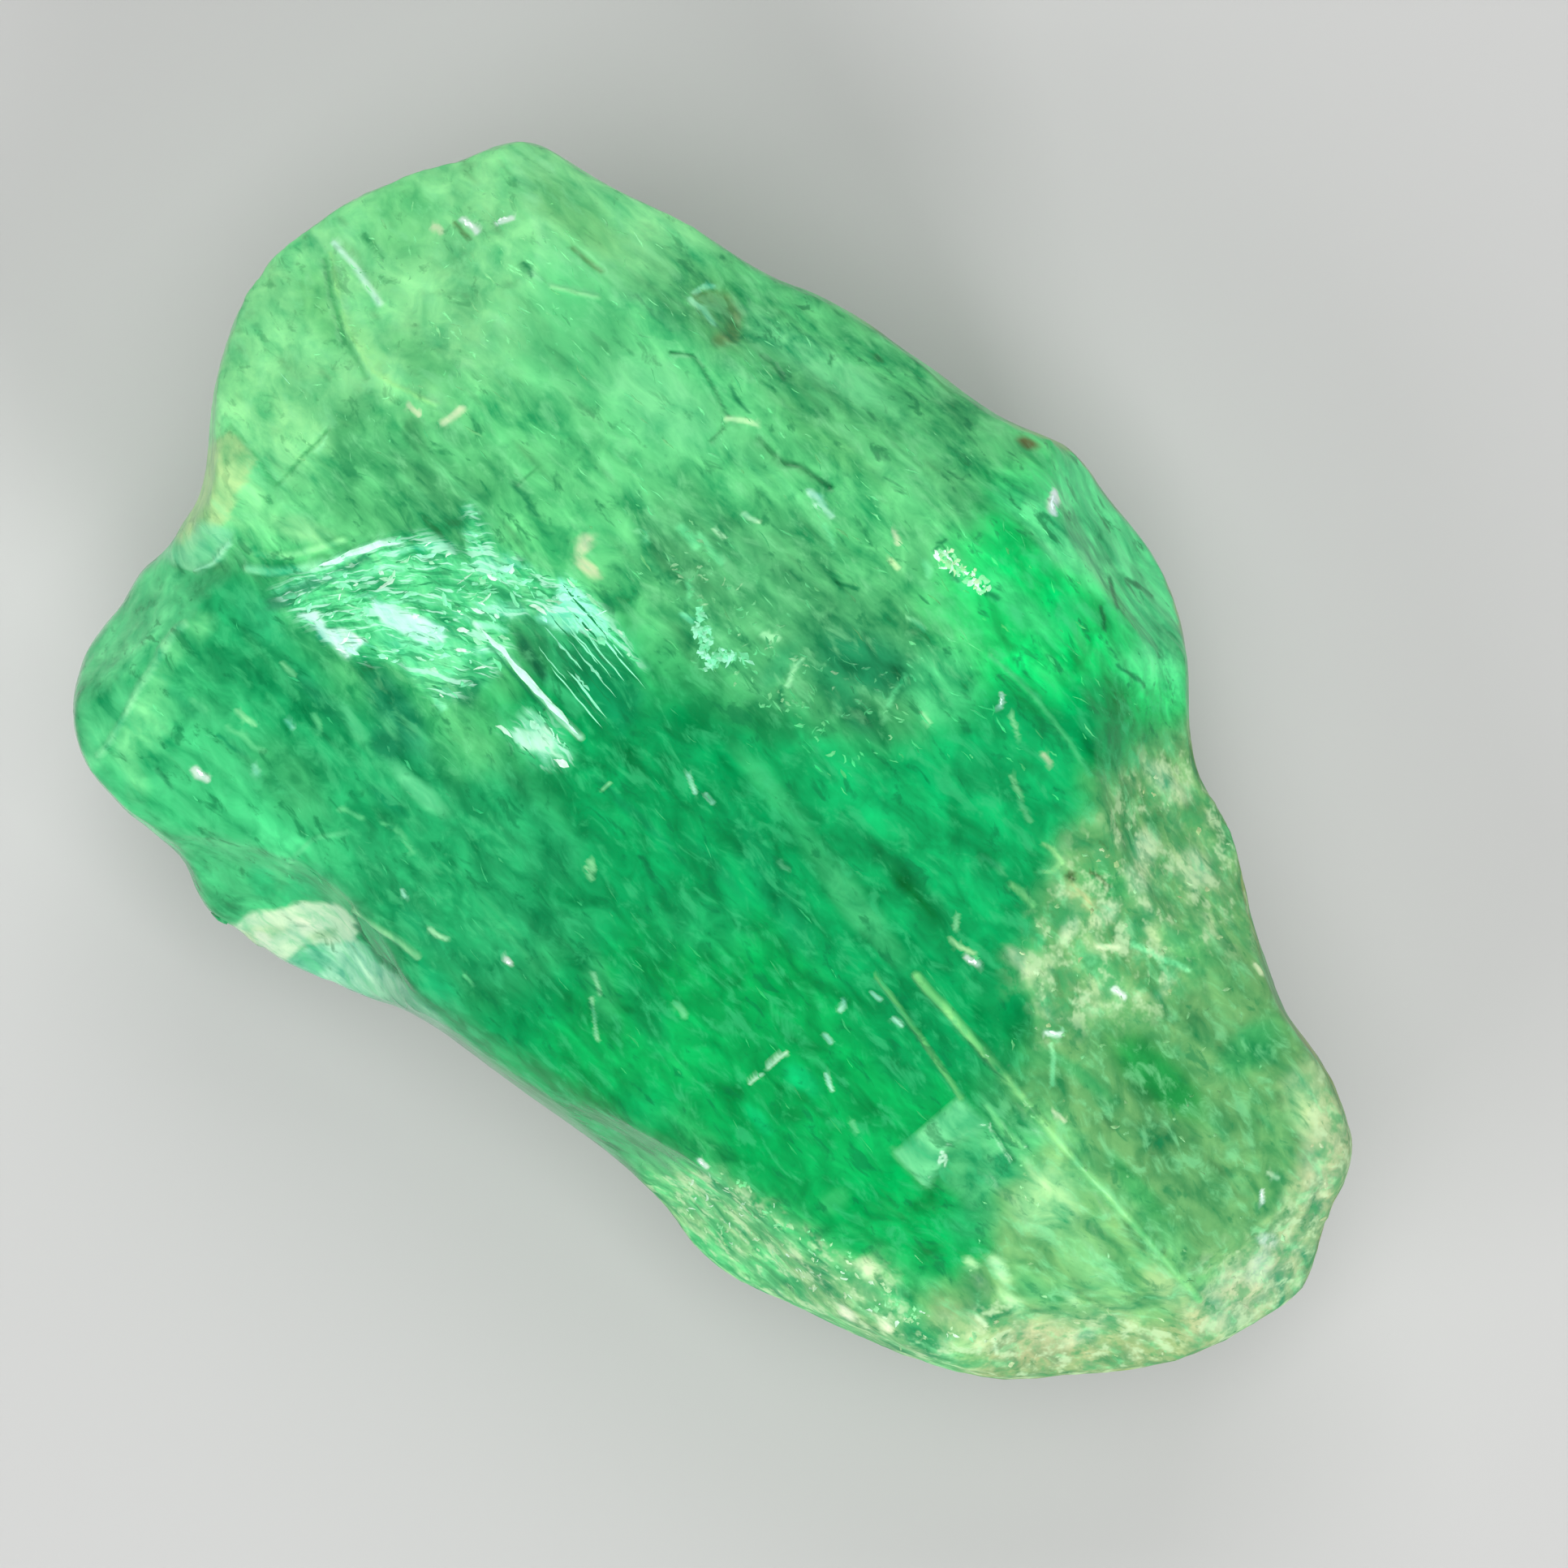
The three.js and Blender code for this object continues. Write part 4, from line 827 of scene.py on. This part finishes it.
# ---- Slivers: thin closed flakes and needles with pointed ends, many to a mesh ----
class Slivers:
    """Gathers slivers, then makes one mesh of them with a colour for each."""

    def __init__(self, ragged=0.35):
        self.points, self.faces, self.tints = [], [], []
        self.ragged, self.rng = ragged, np.random.default_rng(SEED)

    def add(self, spine, ups, width, height, colour):
        """A sliver along a spine of points, widest in the middle: ups points away from its flat side."""
        spine, ups = np.asarray(spine, float), np.asarray(ups, float)
        first = len(self.points)
        ways = np.gradient(spine, axis=0)
        sides = np.cross(ups, ways)
        sides /= np.linalg.norm(sides, axis=1)[:, None] + 1e-12
        share = np.sin(np.linspace(0, np.pi, len(spine))) ** 0.6
        inner = range(1, len(spine) - 1)
        self.points.append(spine[0])
        for k in inner:
            left, right = 1 + self.ragged * self.rng.uniform(-1.6, 1.2, 2)
            side, up = sides[k] * width / 2 * share[k], ups[k] * height / 2 * share[k]
            self.points += [spine[k] - side * left, spine[k] + up, spine[k] + side * right,
                spine[k] - up]
        self.points.append(spine[-1])
        last = len(self.points) - 1
        for k in range(4):
            m = (k + 1) % 4
            self.faces.append((first, first + 1 + m, first + 1 + k))
            self.faces.append((last, last - 4 + k, last - 4 + m))
            for ring in range(len(inner) - 1):
                a = first + 1 + 4 * ring
                self.faces.append((a + k, a + m, a + 4 + m, a + 4 + k))
        self.tints += [colour] * (last - first + 1)

    def mesh(self, name):
        made = bpy.data.meshes.new(name)
        made.from_pydata([tuple(point * MM) for point in self.points], [], self.faces)
        tints = np.column_stack([np.clip(self.tints, 0, 1), np.ones(len(self.tints))])
        colours = made.attributes.new("tint", "FLOAT_COLOR", "POINT")
        colours.data.foreach_set("color", tints.astype(np.float32).ravel())
        made.update()
        thing = bpy.data.objects.new(name, made)
        bpy.context.scene.collection.objects.link(thing)
        print(name + ":", sum(len(face) - 2 for face in self.faces), "triangles")
        return thing


tree = BVHTree.FromPolygons([Vector(point) for point in lifted],
    [tuple(face.vertices) for face in surface.polygons])


def seat(x, y):
    """The point of the surface that the camera sees at x, y, and its normal there."""
    place, normal, _, _ = tree.ray_cast(Vector(EYE), Vector((x, y, GIRDLE)) - Vector(EYE))
    return (None, None) if place is None else (np.array(place), np.array(normal))


def curve(x, y, length, angle, bend, steps=5):
    """A slightly bent route from above, round its middle. Angles in degrees."""
    at = np.linspace(-0.5, 0.5, steps)
    heading = np.radians(angle + bend * at)
    stride = length / (steps - 1)
    xs, ys = np.cumsum(np.cos(heading)) * stride, np.cumsum(np.sin(heading)) * stride
    return np.column_stack([x + xs - xs.mean(), y + ys - ys.mean()])


def lay(slivers, route, width, height, colour, sink=0.0):
    """Lays a sliver along a route on the surface, or sink millimetres under it."""
    seats = [seat(x, y) for x, y in route]
    if any(place is None or normal[2] < 0.15 for place, normal in seats):
        return
    spine = [place - normal * sink for place, normal in seats]
    slivers.add(spine, [normal for _, normal in seats], width, height, colour)


def scattered(outline, count, rng):
    """Random points inside an outline."""
    low, high = np.min(outline, axis=0), np.max(outline, axis=0)
    found = np.empty((0, 2))
    while len(found) < count:
        tried = rng.uniform(low, high, (count, 2))
        found = np.vstack([found, tried[within(tried, outline)]])
    return found[:count]


def strew(slivers, outline, count, seed, colours, share, lengths, widths, angle, spread, bend,
    sink=(0, 0)):
    """Strews slivers over an outline, each in the ground's colour turned by share towards one of colours."""
    rng = np.random.default_rng(seed)
    spots = [(x, y) for x, y in scattered(outline, count, rng) if seat(x, y)[0] is not None]
    here = ground(np.array([seat(x, y)[0] for x, y in spots]))
    for (x, y), base in zip(spots, here):
        colour = tone(colours[rng.integers(len(colours))])
        mixed = base + (colour - base) * rng.uniform(*share)
        way = angle(x) if callable(angle) else angle
        route = curve(x, y, rng.uniform(*lengths), rng.normal(way, spread), rng.normal(0, bend))
        width = rng.uniform(*widths)
        lay(slivers, route, width, width * 0.35, mixed, rng.uniform(*sink))


UPPER_FACE = [(-9, 4.6), (-7, 5.4), (-3, 6.2), (0, 7.0), (3.0, 6.0), (3.4, 3.6), (1.0, 1.2), (-4, 0.6),
    (-7.6, 0.4), (-9.6, 1.4)]
LOWER_FACE = [(-3.6, 0.2), (0.6, 1.4), (5.6, 0.6), (5.8, -2.4), (7.4, -3.2), (3.2, -4.4), (-0.6, -5.6),
    (-4.4, -5.4), (-4.0, -2.8)]
LOBE = [(-8.4, -4.2), (-4.6, -3.6), (-1.6, -3.2), (-1.0, -5.8), (-3.4, -6.0), (-4.4, -7.2),
    (-7.4, -7.2), (-8.4, -6.0)]
BLUNT = [(-11.3, 0.6), (-9.4, -1.8), (-8.0, -1.0), (-8.2, 3.8), (-10.0, 4.4), (-11.2, 2.4)]
POINT = [(4.0, 5.2), (4.0, 0.4), (6.2, 0.4), (6.6, -0.6), (8.6, -3.4), (10.4, -1.4), (11.4, 0.8),
    (10.4, 3.0), (6.6, 4.4)]
SKIRT = [(3.9, -4.5), (5.4, -4.2), (6.8, -3.8), (8.4, -3.6), (9.6, -2.8), (8.4, -3.9), (6.2, -4.9),
    (4.8, -5.4), (3.8, -5.4)]
SCALES = [(-4.2, 2.4), (-2.6, 2.2), (-0.8, 2.6), (0.6, 3.6), (0.8, 1.6), (-1.2, 1.0), (-2.4, 0.8),
    (-3.6, 1.3)]
GRANULES = [(-1.08, 4.98), (-0.95, 5.18), (-0.5, 5.14), (-0.4, 5.3), (0.0, 5.28), (0.02, 5.05),
    (-0.5, 4.98), (-0.85, 4.86)]
GREEN_FLAKES = [(-3.0, 1.48), (-2.7, 1.42), (-2.3, 1.25), (-1.95, 1.52), (-1.75, 1.48), (-2.05, 1.2),
    (-2.15, 0.88), (-2.5, 1.02), (-2.95, 1.25)]
SPARKLE = 200  # a mark whose red, green and blue all reach this has a crisp glint on it


def surface_marks():
    marks = Slivers(0.6)
    strew(marks, GRANULES, 60, SEED + 60, [CREAM, WHITE, PALE], (0.4, 0.95), (0.05, 0.2), (0.04, 0.1),
        0, 90, 60)
    strew(marks, GREEN_FLAKES, 70, SEED + 61, [(130, 240, 185), CYAN], (0.3, 0.85), (0.06, 0.3),
        (0.04, 0.12), 45, 50, 60)
    # painted glints: a thin sliver of its colour laid along each of the palest marks
    for colour, width, route in MARKS:
        if min(colour) < SPARKLE:
            continue
        fine = np.array(route, float)
        steps = np.linspace(0.3, len(fine) - 1.3, 7)
        spread = np.column_stack([np.interp(steps, range(len(fine)), fine[:, axis]) for axis in (0, 1)])
        lay(marks, spread, width * 0.5, width * 0.15, tone(colour))
    light, dull = [PALE, MIST], [DARK, DEEP, OLIVE]
    strew(marks, UPPER_FACE, 150, SEED + 1, light, (0.05, 0.3), (0.08, 0.35), (0.012, 0.04), 2, 14, 30)
    strew(marks, UPPER_FACE, 190, SEED + 2, dull, (0.1, 0.45), (0.08, 0.4), (0.015, 0.045), -2, 14, 30)
    strew(marks, LOWER_FACE, 60, SEED + 4, [DEEP, DARK], (0.2, 0.5), (0.1, 0.4), (0.015, 0.04), -3, 9,
        15)
    strew(marks, LOBE, 30, SEED + 6, [DEEP, DARK], (0.1, 0.4), (0.1, 0.3), (0.02, 0.05), -4, 14, 30)
    strew(marks, BLUNT, 50, SEED + 7, light, (0.05, 0.3), (0.06, 0.2), (0.012, 0.03), 10, 30, 40)
    strew(marks, BLUNT, 70, SEED + 8, [DARK, OLIVE], (0.1, 0.4), (0.06, 0.25), (0.015, 0.035), 5, 30,
        40)
    strew(marks, POINT, 50, SEED + 9, [CREAM, PALE], (0.05, 0.25), (0.05, 0.2), (0.03, 0.07), 15, 50,
        60)
    strew(marks, POINT, 30, SEED + 10, [DARK, OLIVE], (0.1, 0.3), (0.06, 0.2), (0.02, 0.05), 10, 40, 40)
    strew(marks, SKIRT, 130, SEED + 11, [CREAM, PALE, WHITE], (0.15, 0.6), (0.05, 0.16), (0.03, 0.08),
        8, 40, 60)
    strew(marks, SCALES, 110, SEED + 12, [PALE, MIST, CREAM], (0.05, 0.3), (0.06, 0.2), (0.02, 0.06),
        60, 45, 90)
    return marks.mesh("surface_marks")


def broken_shards():
    """The splintered band across the face and the comb of lines beside it. Its pale shards, pale comb lines,
    ridge and outer rim are painted highlights: colour laid where they catch the light.
    """
    shards = Slivers()
    painted_highlight = [CYAN, WHITE, (150, 250, 196), (120, 240, 172)]
    for k, (outline, count) in enumerate(zip(BROKEN, (110, 55, 10))):
        seed = SEED + 20 + 3 * k
        strew(shards, outline, count, seed, painted_highlight, (0.15, 0.8), (0.07, 0.4), (0.02, 0.12), band_angle,
            26, 50)
        dark = [DEEP, DARK]
        strew(shards, outline, count // 2, seed + 1, dark, (0.3, 0.9), (0.08, 0.4), (0.02, 0.05),
            band_angle, 16, 40)
    # the comb: every third line deep green, the others pale, painted as the light its striations reflect
    rng = np.random.default_rng(SEED + 29)
    for k in range(22):
        y = 0.12 - 0.052 * k + 0.015 * rng.normal()
        start, end = -4.9 + rng.uniform(0, 1.1) + 0.02 * k, -3.3 + rng.uniform(-0.5, 0.8)
        xs = np.linspace(start, end, 9)
        fall = rng.uniform(0.01, 0.06) * (xs - start)
        route = np.column_stack([xs, y - fall + 0.008 * rng.normal(size=9)])
        colour = tone(DEEP) if k % 3 == 1 else tone((140, 246, 196)) * rng.uniform(0.55, 1.0)
        lay(shards, route, rng.uniform(0.02, 0.055), 0.015, colour)
    # painted highlights: white slivers along the level ridge and the outer rim
    ridge = [(x, -1.4 + 0.01 * np.sin(9 * x)) for x in np.linspace(-5.2, -2.75, 15)]
    lay(shards, ridge, 0.13, 0.05, tone((196, 255, 224)))
    outer_rim = [(-7.78, -2.8), (-7.7, -2.6), (-7.62, -2.4), (-7.54, -2.15), (-7.46, -1.95),
        (-7.34, -1.68), (-7.08, -1.4)]
    lay(shards, outer_rim, 0.12, 0.05, tone((196, 255, 224)))
    return shards.mesh("broken_shards")


def shell_flakes():
    """Scaly chips that stand on the thin crust."""
    flakes = Slivers()
    colours = [CREAM, (214, 236, 186), TAN, PALE]
    for k, (_, outline) in enumerate(CRUSTS.values()):
        inner = [(np.clip(x, 3.4, 11.6), np.clip(y, -5.5, 5.4)) for x, y in outline]
        strew(flakes, inner, 150, SEED + 30 + k, colours, (0.1, 0.5), (0.05, 0.17), (0.05, 0.12), 20,
            60, 50, (0.0, 0.04))
    return flakes.mesh("shell_flakes")


# ---- What is sealed in the crystal ----
def sealed(name, count, seed, outline, depth, lengths, widths, flat, colours, spread):
    """Needles or flakes below the face, most of them along the crystal's axis."""
    group = Slivers()
    rng = np.random.default_rng(seed)
    for x, y in scattered(outline, count, rng):
        place, normal = seat(x, y)
        sink, length, width = rng.uniform(*depth), rng.uniform(*lengths), rng.uniform(*widths)
        if place is None or place[2] - sink < 0.8:
            continue
        way = np.array([1.0, 0, 0]) + rng.normal(0, spread, 3)
        way /= np.linalg.norm(way)
        up = np.cross(way, rng.normal(size=3))
        up /= np.linalg.norm(up)
        middle = place - np.array([0, 0, sink])
        spine = [middle + way * length * t for t in (-0.5, -0.25, 0, 0.25, 0.5)]
        if seat(*spine[0][:2])[0] is None or seat(*spine[-1][:2])[0] is None:
            continue
        group.add(spine, [up] * 5, width, width * flat, tone(colours[rng.integers(len(colours))]))
    return group.mesh(name)


WHOLE = [(-10, 3.4), (-4, 5.4), (1, 6.2), (4.6, 4.2), (9.6, 2.6), (10.4, 0), (8, -2.8), (3, -4.4),
    (-3, -5.8), (-7.6, -6.2), (-8, -3), (-10, -1)]
needles = sealed("silk_needles", 1000, SEED + 40, WHOLE, (0.15, 3.0), (0.3, 2.2), (0.012, 0.035), 0.8,
    [PALE, CYAN, MIST], 0.04)
films = sealed("healed_films", 500, SEED + 41, WHOLE, (0.2, 2.5), (0.15, 0.8), (0.06, 0.3), 0.06,
    [MIST, PALE, (60, 200, 130)], 0.3)
dark_grains = sealed("dark_grains", 260, SEED + 42, WHOLE, (0.1, 1.6), (0.06, 0.3), (0.03, 0.09), 0.7,
    [DEEP, OLIVE, (20, 90, 60)], 0.5)
marks, shards, flakes = surface_marks(), broken_shards(), shell_flakes()


# ---- Materials ----
def add(tree, kind, settings=None, inputs=None):
    """A node with its settings, and its inputs by name or number: a value, or the output that drives it."""
    made = tree.nodes.new("ShaderNode" + kind)
    for name, value in (settings or {}).items():
        setattr(made, name, value)
    for name, value in (inputs or {}).items():
        if isinstance(value, bpy.types.NodeSocket):
            tree.links.new(value, made.inputs[name])
        else:
            made.inputs[name].default_value = value
    return made


def material(name):
    made = bpy.data.materials.new(name)
    made.use_nodes = True
    made.node_tree.nodes.clear()
    return made, made.node_tree


def attribute(tree, name, output="Fac"):
    return add(tree, "Attribute", {"attribute_name": name}).outputs[output]


def scaled(tree, place, scale, shift=0.0):
    return add(tree, "Mapping", None,
        {"Vector": place, "Scale": scale, "Location": (shift, shift, shift)}).outputs[0]


def per_mm(tree, x, y, z, shift=0.0):
    """Coordinates in which noise has x, y and z features to a millimetre along each axis."""
    return scaled(tree, add(tree, "TexCoord").outputs["Object"], (x / MM, y / MM, z / MM), shift)


def noise_at(tree, place, detail=3.0, roughness=0.55, distortion=0.0):
    inputs = {"Vector": place, "Scale": 1.0, "Detail": detail, "Roughness": roughness,
        "Distortion": distortion}
    return add(tree, "TexNoise", None, inputs).outputs[0]


def grey(tree, level):
    return add(tree, "CombineColor", None, {0: level, 1: level, 2: level}).outputs[0]


def mapped(tree, value, low, high, to_low, to_high, kind="LINEAR"):
    inputs = {"Value": value, "From Min": low, "From Max": high, "To Min": to_low, "To Max": to_high}
    return add(tree, "MapRange", {"interpolation_type": kind}, inputs).outputs[0]


def math(tree, operation, a, b):
    return add(tree, "Math", {"operation": operation}, {0: a, 1: b}).outputs[0]


def mixed(tree, share, a, b, blend="MIX"):
    settings = {"data_type": "RGBA", "blend_type": blend}
    return add(tree, "Mix", settings, {0: share, 6: a, 7: b}).outputs[2]


def skin_material():
    made, tree = material("emerald_skin")
    names = ("grain", "fibre", "milk", "crust", "broken")
    grain, fibre, milk, crust, broken = (attribute(tree, name) for name in names)
    silk = noise_at(tree, scaled(tree, attribute(tree, "lie", "Vector"), (1.6, 9, 9)), 3, 0.66)
    murk = noise_at(tree, per_mm(tree, 0.5, 0.85, 0.85, 5.3), 3, 0.55, 0.9)
    cloud = noise_at(tree, per_mm(tree, 1.5, 2.5, 2.5, 3.1), 4, 0.52, 0.6)
    wisp = noise_at(tree, per_mm(tree, 1.6, 3.6, 3.6, 7.7), 4, 0.62, 0.5)
    splinter = noise_at(tree, scaled(tree, attribute(tree, "flow", "Vector"), (1.5, 7.5, 1.0)), 3, 0.6)
    colour = attribute(tree, "tint", "Color")
    drawn_out = math(tree, "MULTIPLY", fibre, mapped(tree, murk, 0.42, 0.6, 1.0, 0.1, "SMOOTHSTEP"))
    threads = math(tree, "MULTIPLY", mapped(tree, silk, 0.3, 0.7, -0.3, 0.26), drawn_out)
    blotches = math(tree, "MULTIPLY", mapped(tree, cloud, 0.32, 0.68, -0.6, 0.5), grain)
    shades = math(tree, "MULTIPLY", mapped(tree, murk, 0.3, 0.7, -0.36, 0.34), grain)
    level = math(tree, "ADD", math(tree, "ADD", threads, blotches), shades)
    uneven = add(tree, "VectorMath", {"operation": "MULTIPLY_ADD"},
        {0: level, 1: (1.25, 0.6, 0.68), 2: (1, 1, 1)})
    uneven = add(tree, "VectorMath", {"operation": "MAXIMUM"},
        {0: uneven.outputs[0], 1: (0.15, 0.3, 0.3)})
    colour = mixed(tree, 1.0, colour, uneven.outputs[0], "MULTIPLY")
    milky = math(tree, "MULTIPLY", mapped(tree, wisp, 0.5, 0.7, 0.0, 0.4, "SMOOTHSTEP"), milk)
    colour = mixed(tree, milky, colour, (*tone(PALE), 1))
    teal = math(tree, "MULTIPLY", mapped(tree, wisp, 0.5, 0.68, 0.0, 0.5, "SMOOTHSTEP"),
        math(tree, "SUBTRACT", 1.0, milk))
    colour = mixed(tree, teal, colour, (*tone((60, 214, 138)), 1))
    dark = math(tree, "MULTIPLY", mapped(tree, wisp, 0.43, 0.31, 0.0, 0.7, "SMOOTHSTEP"), grain)
    colour = mixed(tree, dark, colour, (*tone(DEEP), 1))
    crumbs = noise_at(tree, per_mm(tree, 2.3, 2.7, 2.7, 9.1), 3, 0.66)
    strands = math(tree, "MULTIPLY", mapped(tree, crumbs, 0.5, 0.66, 0.0, 0.6, "SMOOTHSTEP"), crust)
    colour = mixed(tree, strands, colour, (*tone((196, 228, 178)), 1))
    gaps = math(tree, "MULTIPLY", mapped(tree, crumbs, 0.5, 0.34, 0.0, 0.6, "SMOOTHSTEP"), crust)
    colour = mixed(tree, gaps, colour, (*tone((60, 158, 94)), 1))
    # painted highlights: pale streaks along the broken band's shards, with dark slits between them
    painted_highlight = math(tree, "MULTIPLY", mapped(tree, splinter, 0.54, 0.62, 0.0, 0.6, "SMOOTHSTEP"), broken)
    colour = mixed(tree, painted_highlight, colour, (*tone((196, 255, 230)), 1))
    slits = math(tree, "MULTIPLY", mapped(tree, splinter, 0.44, 0.36, 0.0, 0.6, "SMOOTHSTEP"), broken)
    colour = mixed(tree, slits, colour, (*tone(DARK), 1))
    pits = noise_at(tree, per_mm(tree, 3.0, 6.0, 6.0, 1.7), 1, 0.6)
    bump = add(tree, "Bump", None, {"Height": pits, "Strength": 0.3, "Distance": 0.04 * MM}).outputs[0]
    shade = add(
        tree, "BsdfPrincipled", None,
        {
            "Base Color": colour, "Roughness": attribute(tree, "gloss"), "IOR": 1.58, "Normal": bump,
            "Transmission Weight": attribute(tree, "clear"), "Specular IOR Level": 0.12,
        },
    )
    depth = add(tree, "VolumeAbsorption", None, {"Color": (0.2, 0.93, 0.6, 1), "Density": 110.0})
    add(tree, "OutputMaterial", None, {"Surface": shade.outputs[0], "Volume": depth.outputs[0]})
    return made


def tinted_material(name, roughness):
    """For slivers: each one's own colour, a little uneven."""
    made, tree = material(name)
    uneven = noise_at(tree, per_mm(tree, 5, 12, 12), 2)
    level = mapped(tree, uneven, 0.3, 0.7, 0.8, 1.2)
    colour = mixed(tree, 1.0, attribute(tree, "tint", "Color"), grey(tree, level), "MULTIPLY")
    shade = add(tree, "BsdfPrincipled", None,
        {"Base Color": colour, "Roughness": roughness, "IOR": 1.5})
    add(tree, "OutputMaterial", None, {"Surface": shade.outputs[0]})
    return made


body.data.materials.append(skin_material())
for piece, roughness in ((marks, 0.4), (shards, 0.22), (flakes, 0.6), (needles, 0.4), (films, 0.3),
    (dark_grains, 0.5)):
    piece.data.materials.append(tinted_material(piece.name + "_look", roughness))
for piece in (body, marks, shards, flakes, needles, films, dark_grains):
    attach(piece, "root")
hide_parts(NODE)


# ---- Studio ----
bpy.ops.mesh.primitive_circle_add(vertices=96, radius=2.0, fill_type="NGON",
    location=(0, 0, -0.02 * MM))
floor = bpy.context.object
floor.name = "floor"
made, tree = material("pale_floor")
shade = add(tree, "BsdfPrincipled", None, {"Base Color": (0.5, 0.5, 0.495, 1), "Roughness": 0.85})
add(tree, "OutputMaterial", None, {"Surface": shade.outputs[0]})
floor.data.materials.append(made)


def soft_light(name, azimuth, elevation, distance, size, power, mirrored=True):
    """A square area light that faces the crystal. Its place is in degrees and metres from the crystal."""
    data = bpy.data.lights.new(name, "AREA")
    data.size = size
    data.energy = power
    light = bpy.data.objects.new(name, data)
    a, e = np.radians(azimuth), np.radians(elevation)
    aim = Vector((0, 0, 0.004))
    light.location = aim + distance * Vector((np.cos(a) * np.cos(e), np.sin(a) * np.cos(e), np.sin(e)))
    light.rotation_mode = "QUATERNION"
    light.rotation_quaternion = (aim - light.location).to_track_quat("-Z", "Y")
    light.visible_glossy = light.visible_transmission = mirrored
    bpy.context.scene.collection.objects.link(light)


soft_light("overhead", 0, 89, 0.45, 0.30, 1.25, mirrored=False)
soft_light("key", -20, 30, 0.30, 0.09, 0.50)
soft_light("fill", 135, 42, 0.32, 0.20, 0.40)
soft_light("low_fill", 258, 35, 0.32, 0.20, 0.40, mirrored=False)

world = bpy.data.worlds.new("studio")
bpy.context.scene.world = world
world.use_nodes = True
tree = world.node_tree
tree.nodes.clear()
way = add(tree, "TexCoord").outputs["Generated"]
height = add(tree, "SeparateXYZ", None, {0: way}).outputs[2]
ramp = add(tree, "ValToRGB", None, {0: height})
for stop, (position, light) in zip(ramp.color_ramp.elements, ((0.02, 1.0), (0.45, 0.05))):
    stop.position = position
    stop.color = (light, light, light, 1)
sky = add(tree, "Background", None, {"Color": ramp.outputs[0], "Strength": 1.0})
add(tree, "OutputWorld", None, {0: sky.outputs[0]})

scene = bpy.context.scene
scene.view_settings.view_transform = "Standard"
scene.view_settings.look = "None"
scene.cycles.max_bounces = 4
scene.cycles.diffuse_bounces = 2
scene.cycles.glossy_bounces = 2
scene.cycles.transmission_bounces = 4

# ---- Camera: straight above, turned so that the c axis runs down to the right ----
VIEW_WIDTH = 25.875  # millimetres across the picture at the girdle's level
camera_data = bpy.data.cameras.new("camera")
camera_data.sensor_width = 36
camera_data.lens = camera_data.sensor_width * (EYE[2] - GIRDLE) / VIEW_WIDTH
camera_data.clip_start, camera_data.clip_end = 0.005, 10
camera = bpy.data.objects.new("camera", camera_data)
camera.location = Vector(EYE) * MM
camera.rotation_euler = (0, 0, np.radians(47.5))
scene.collection.objects.link(camera)
scene.camera = camera
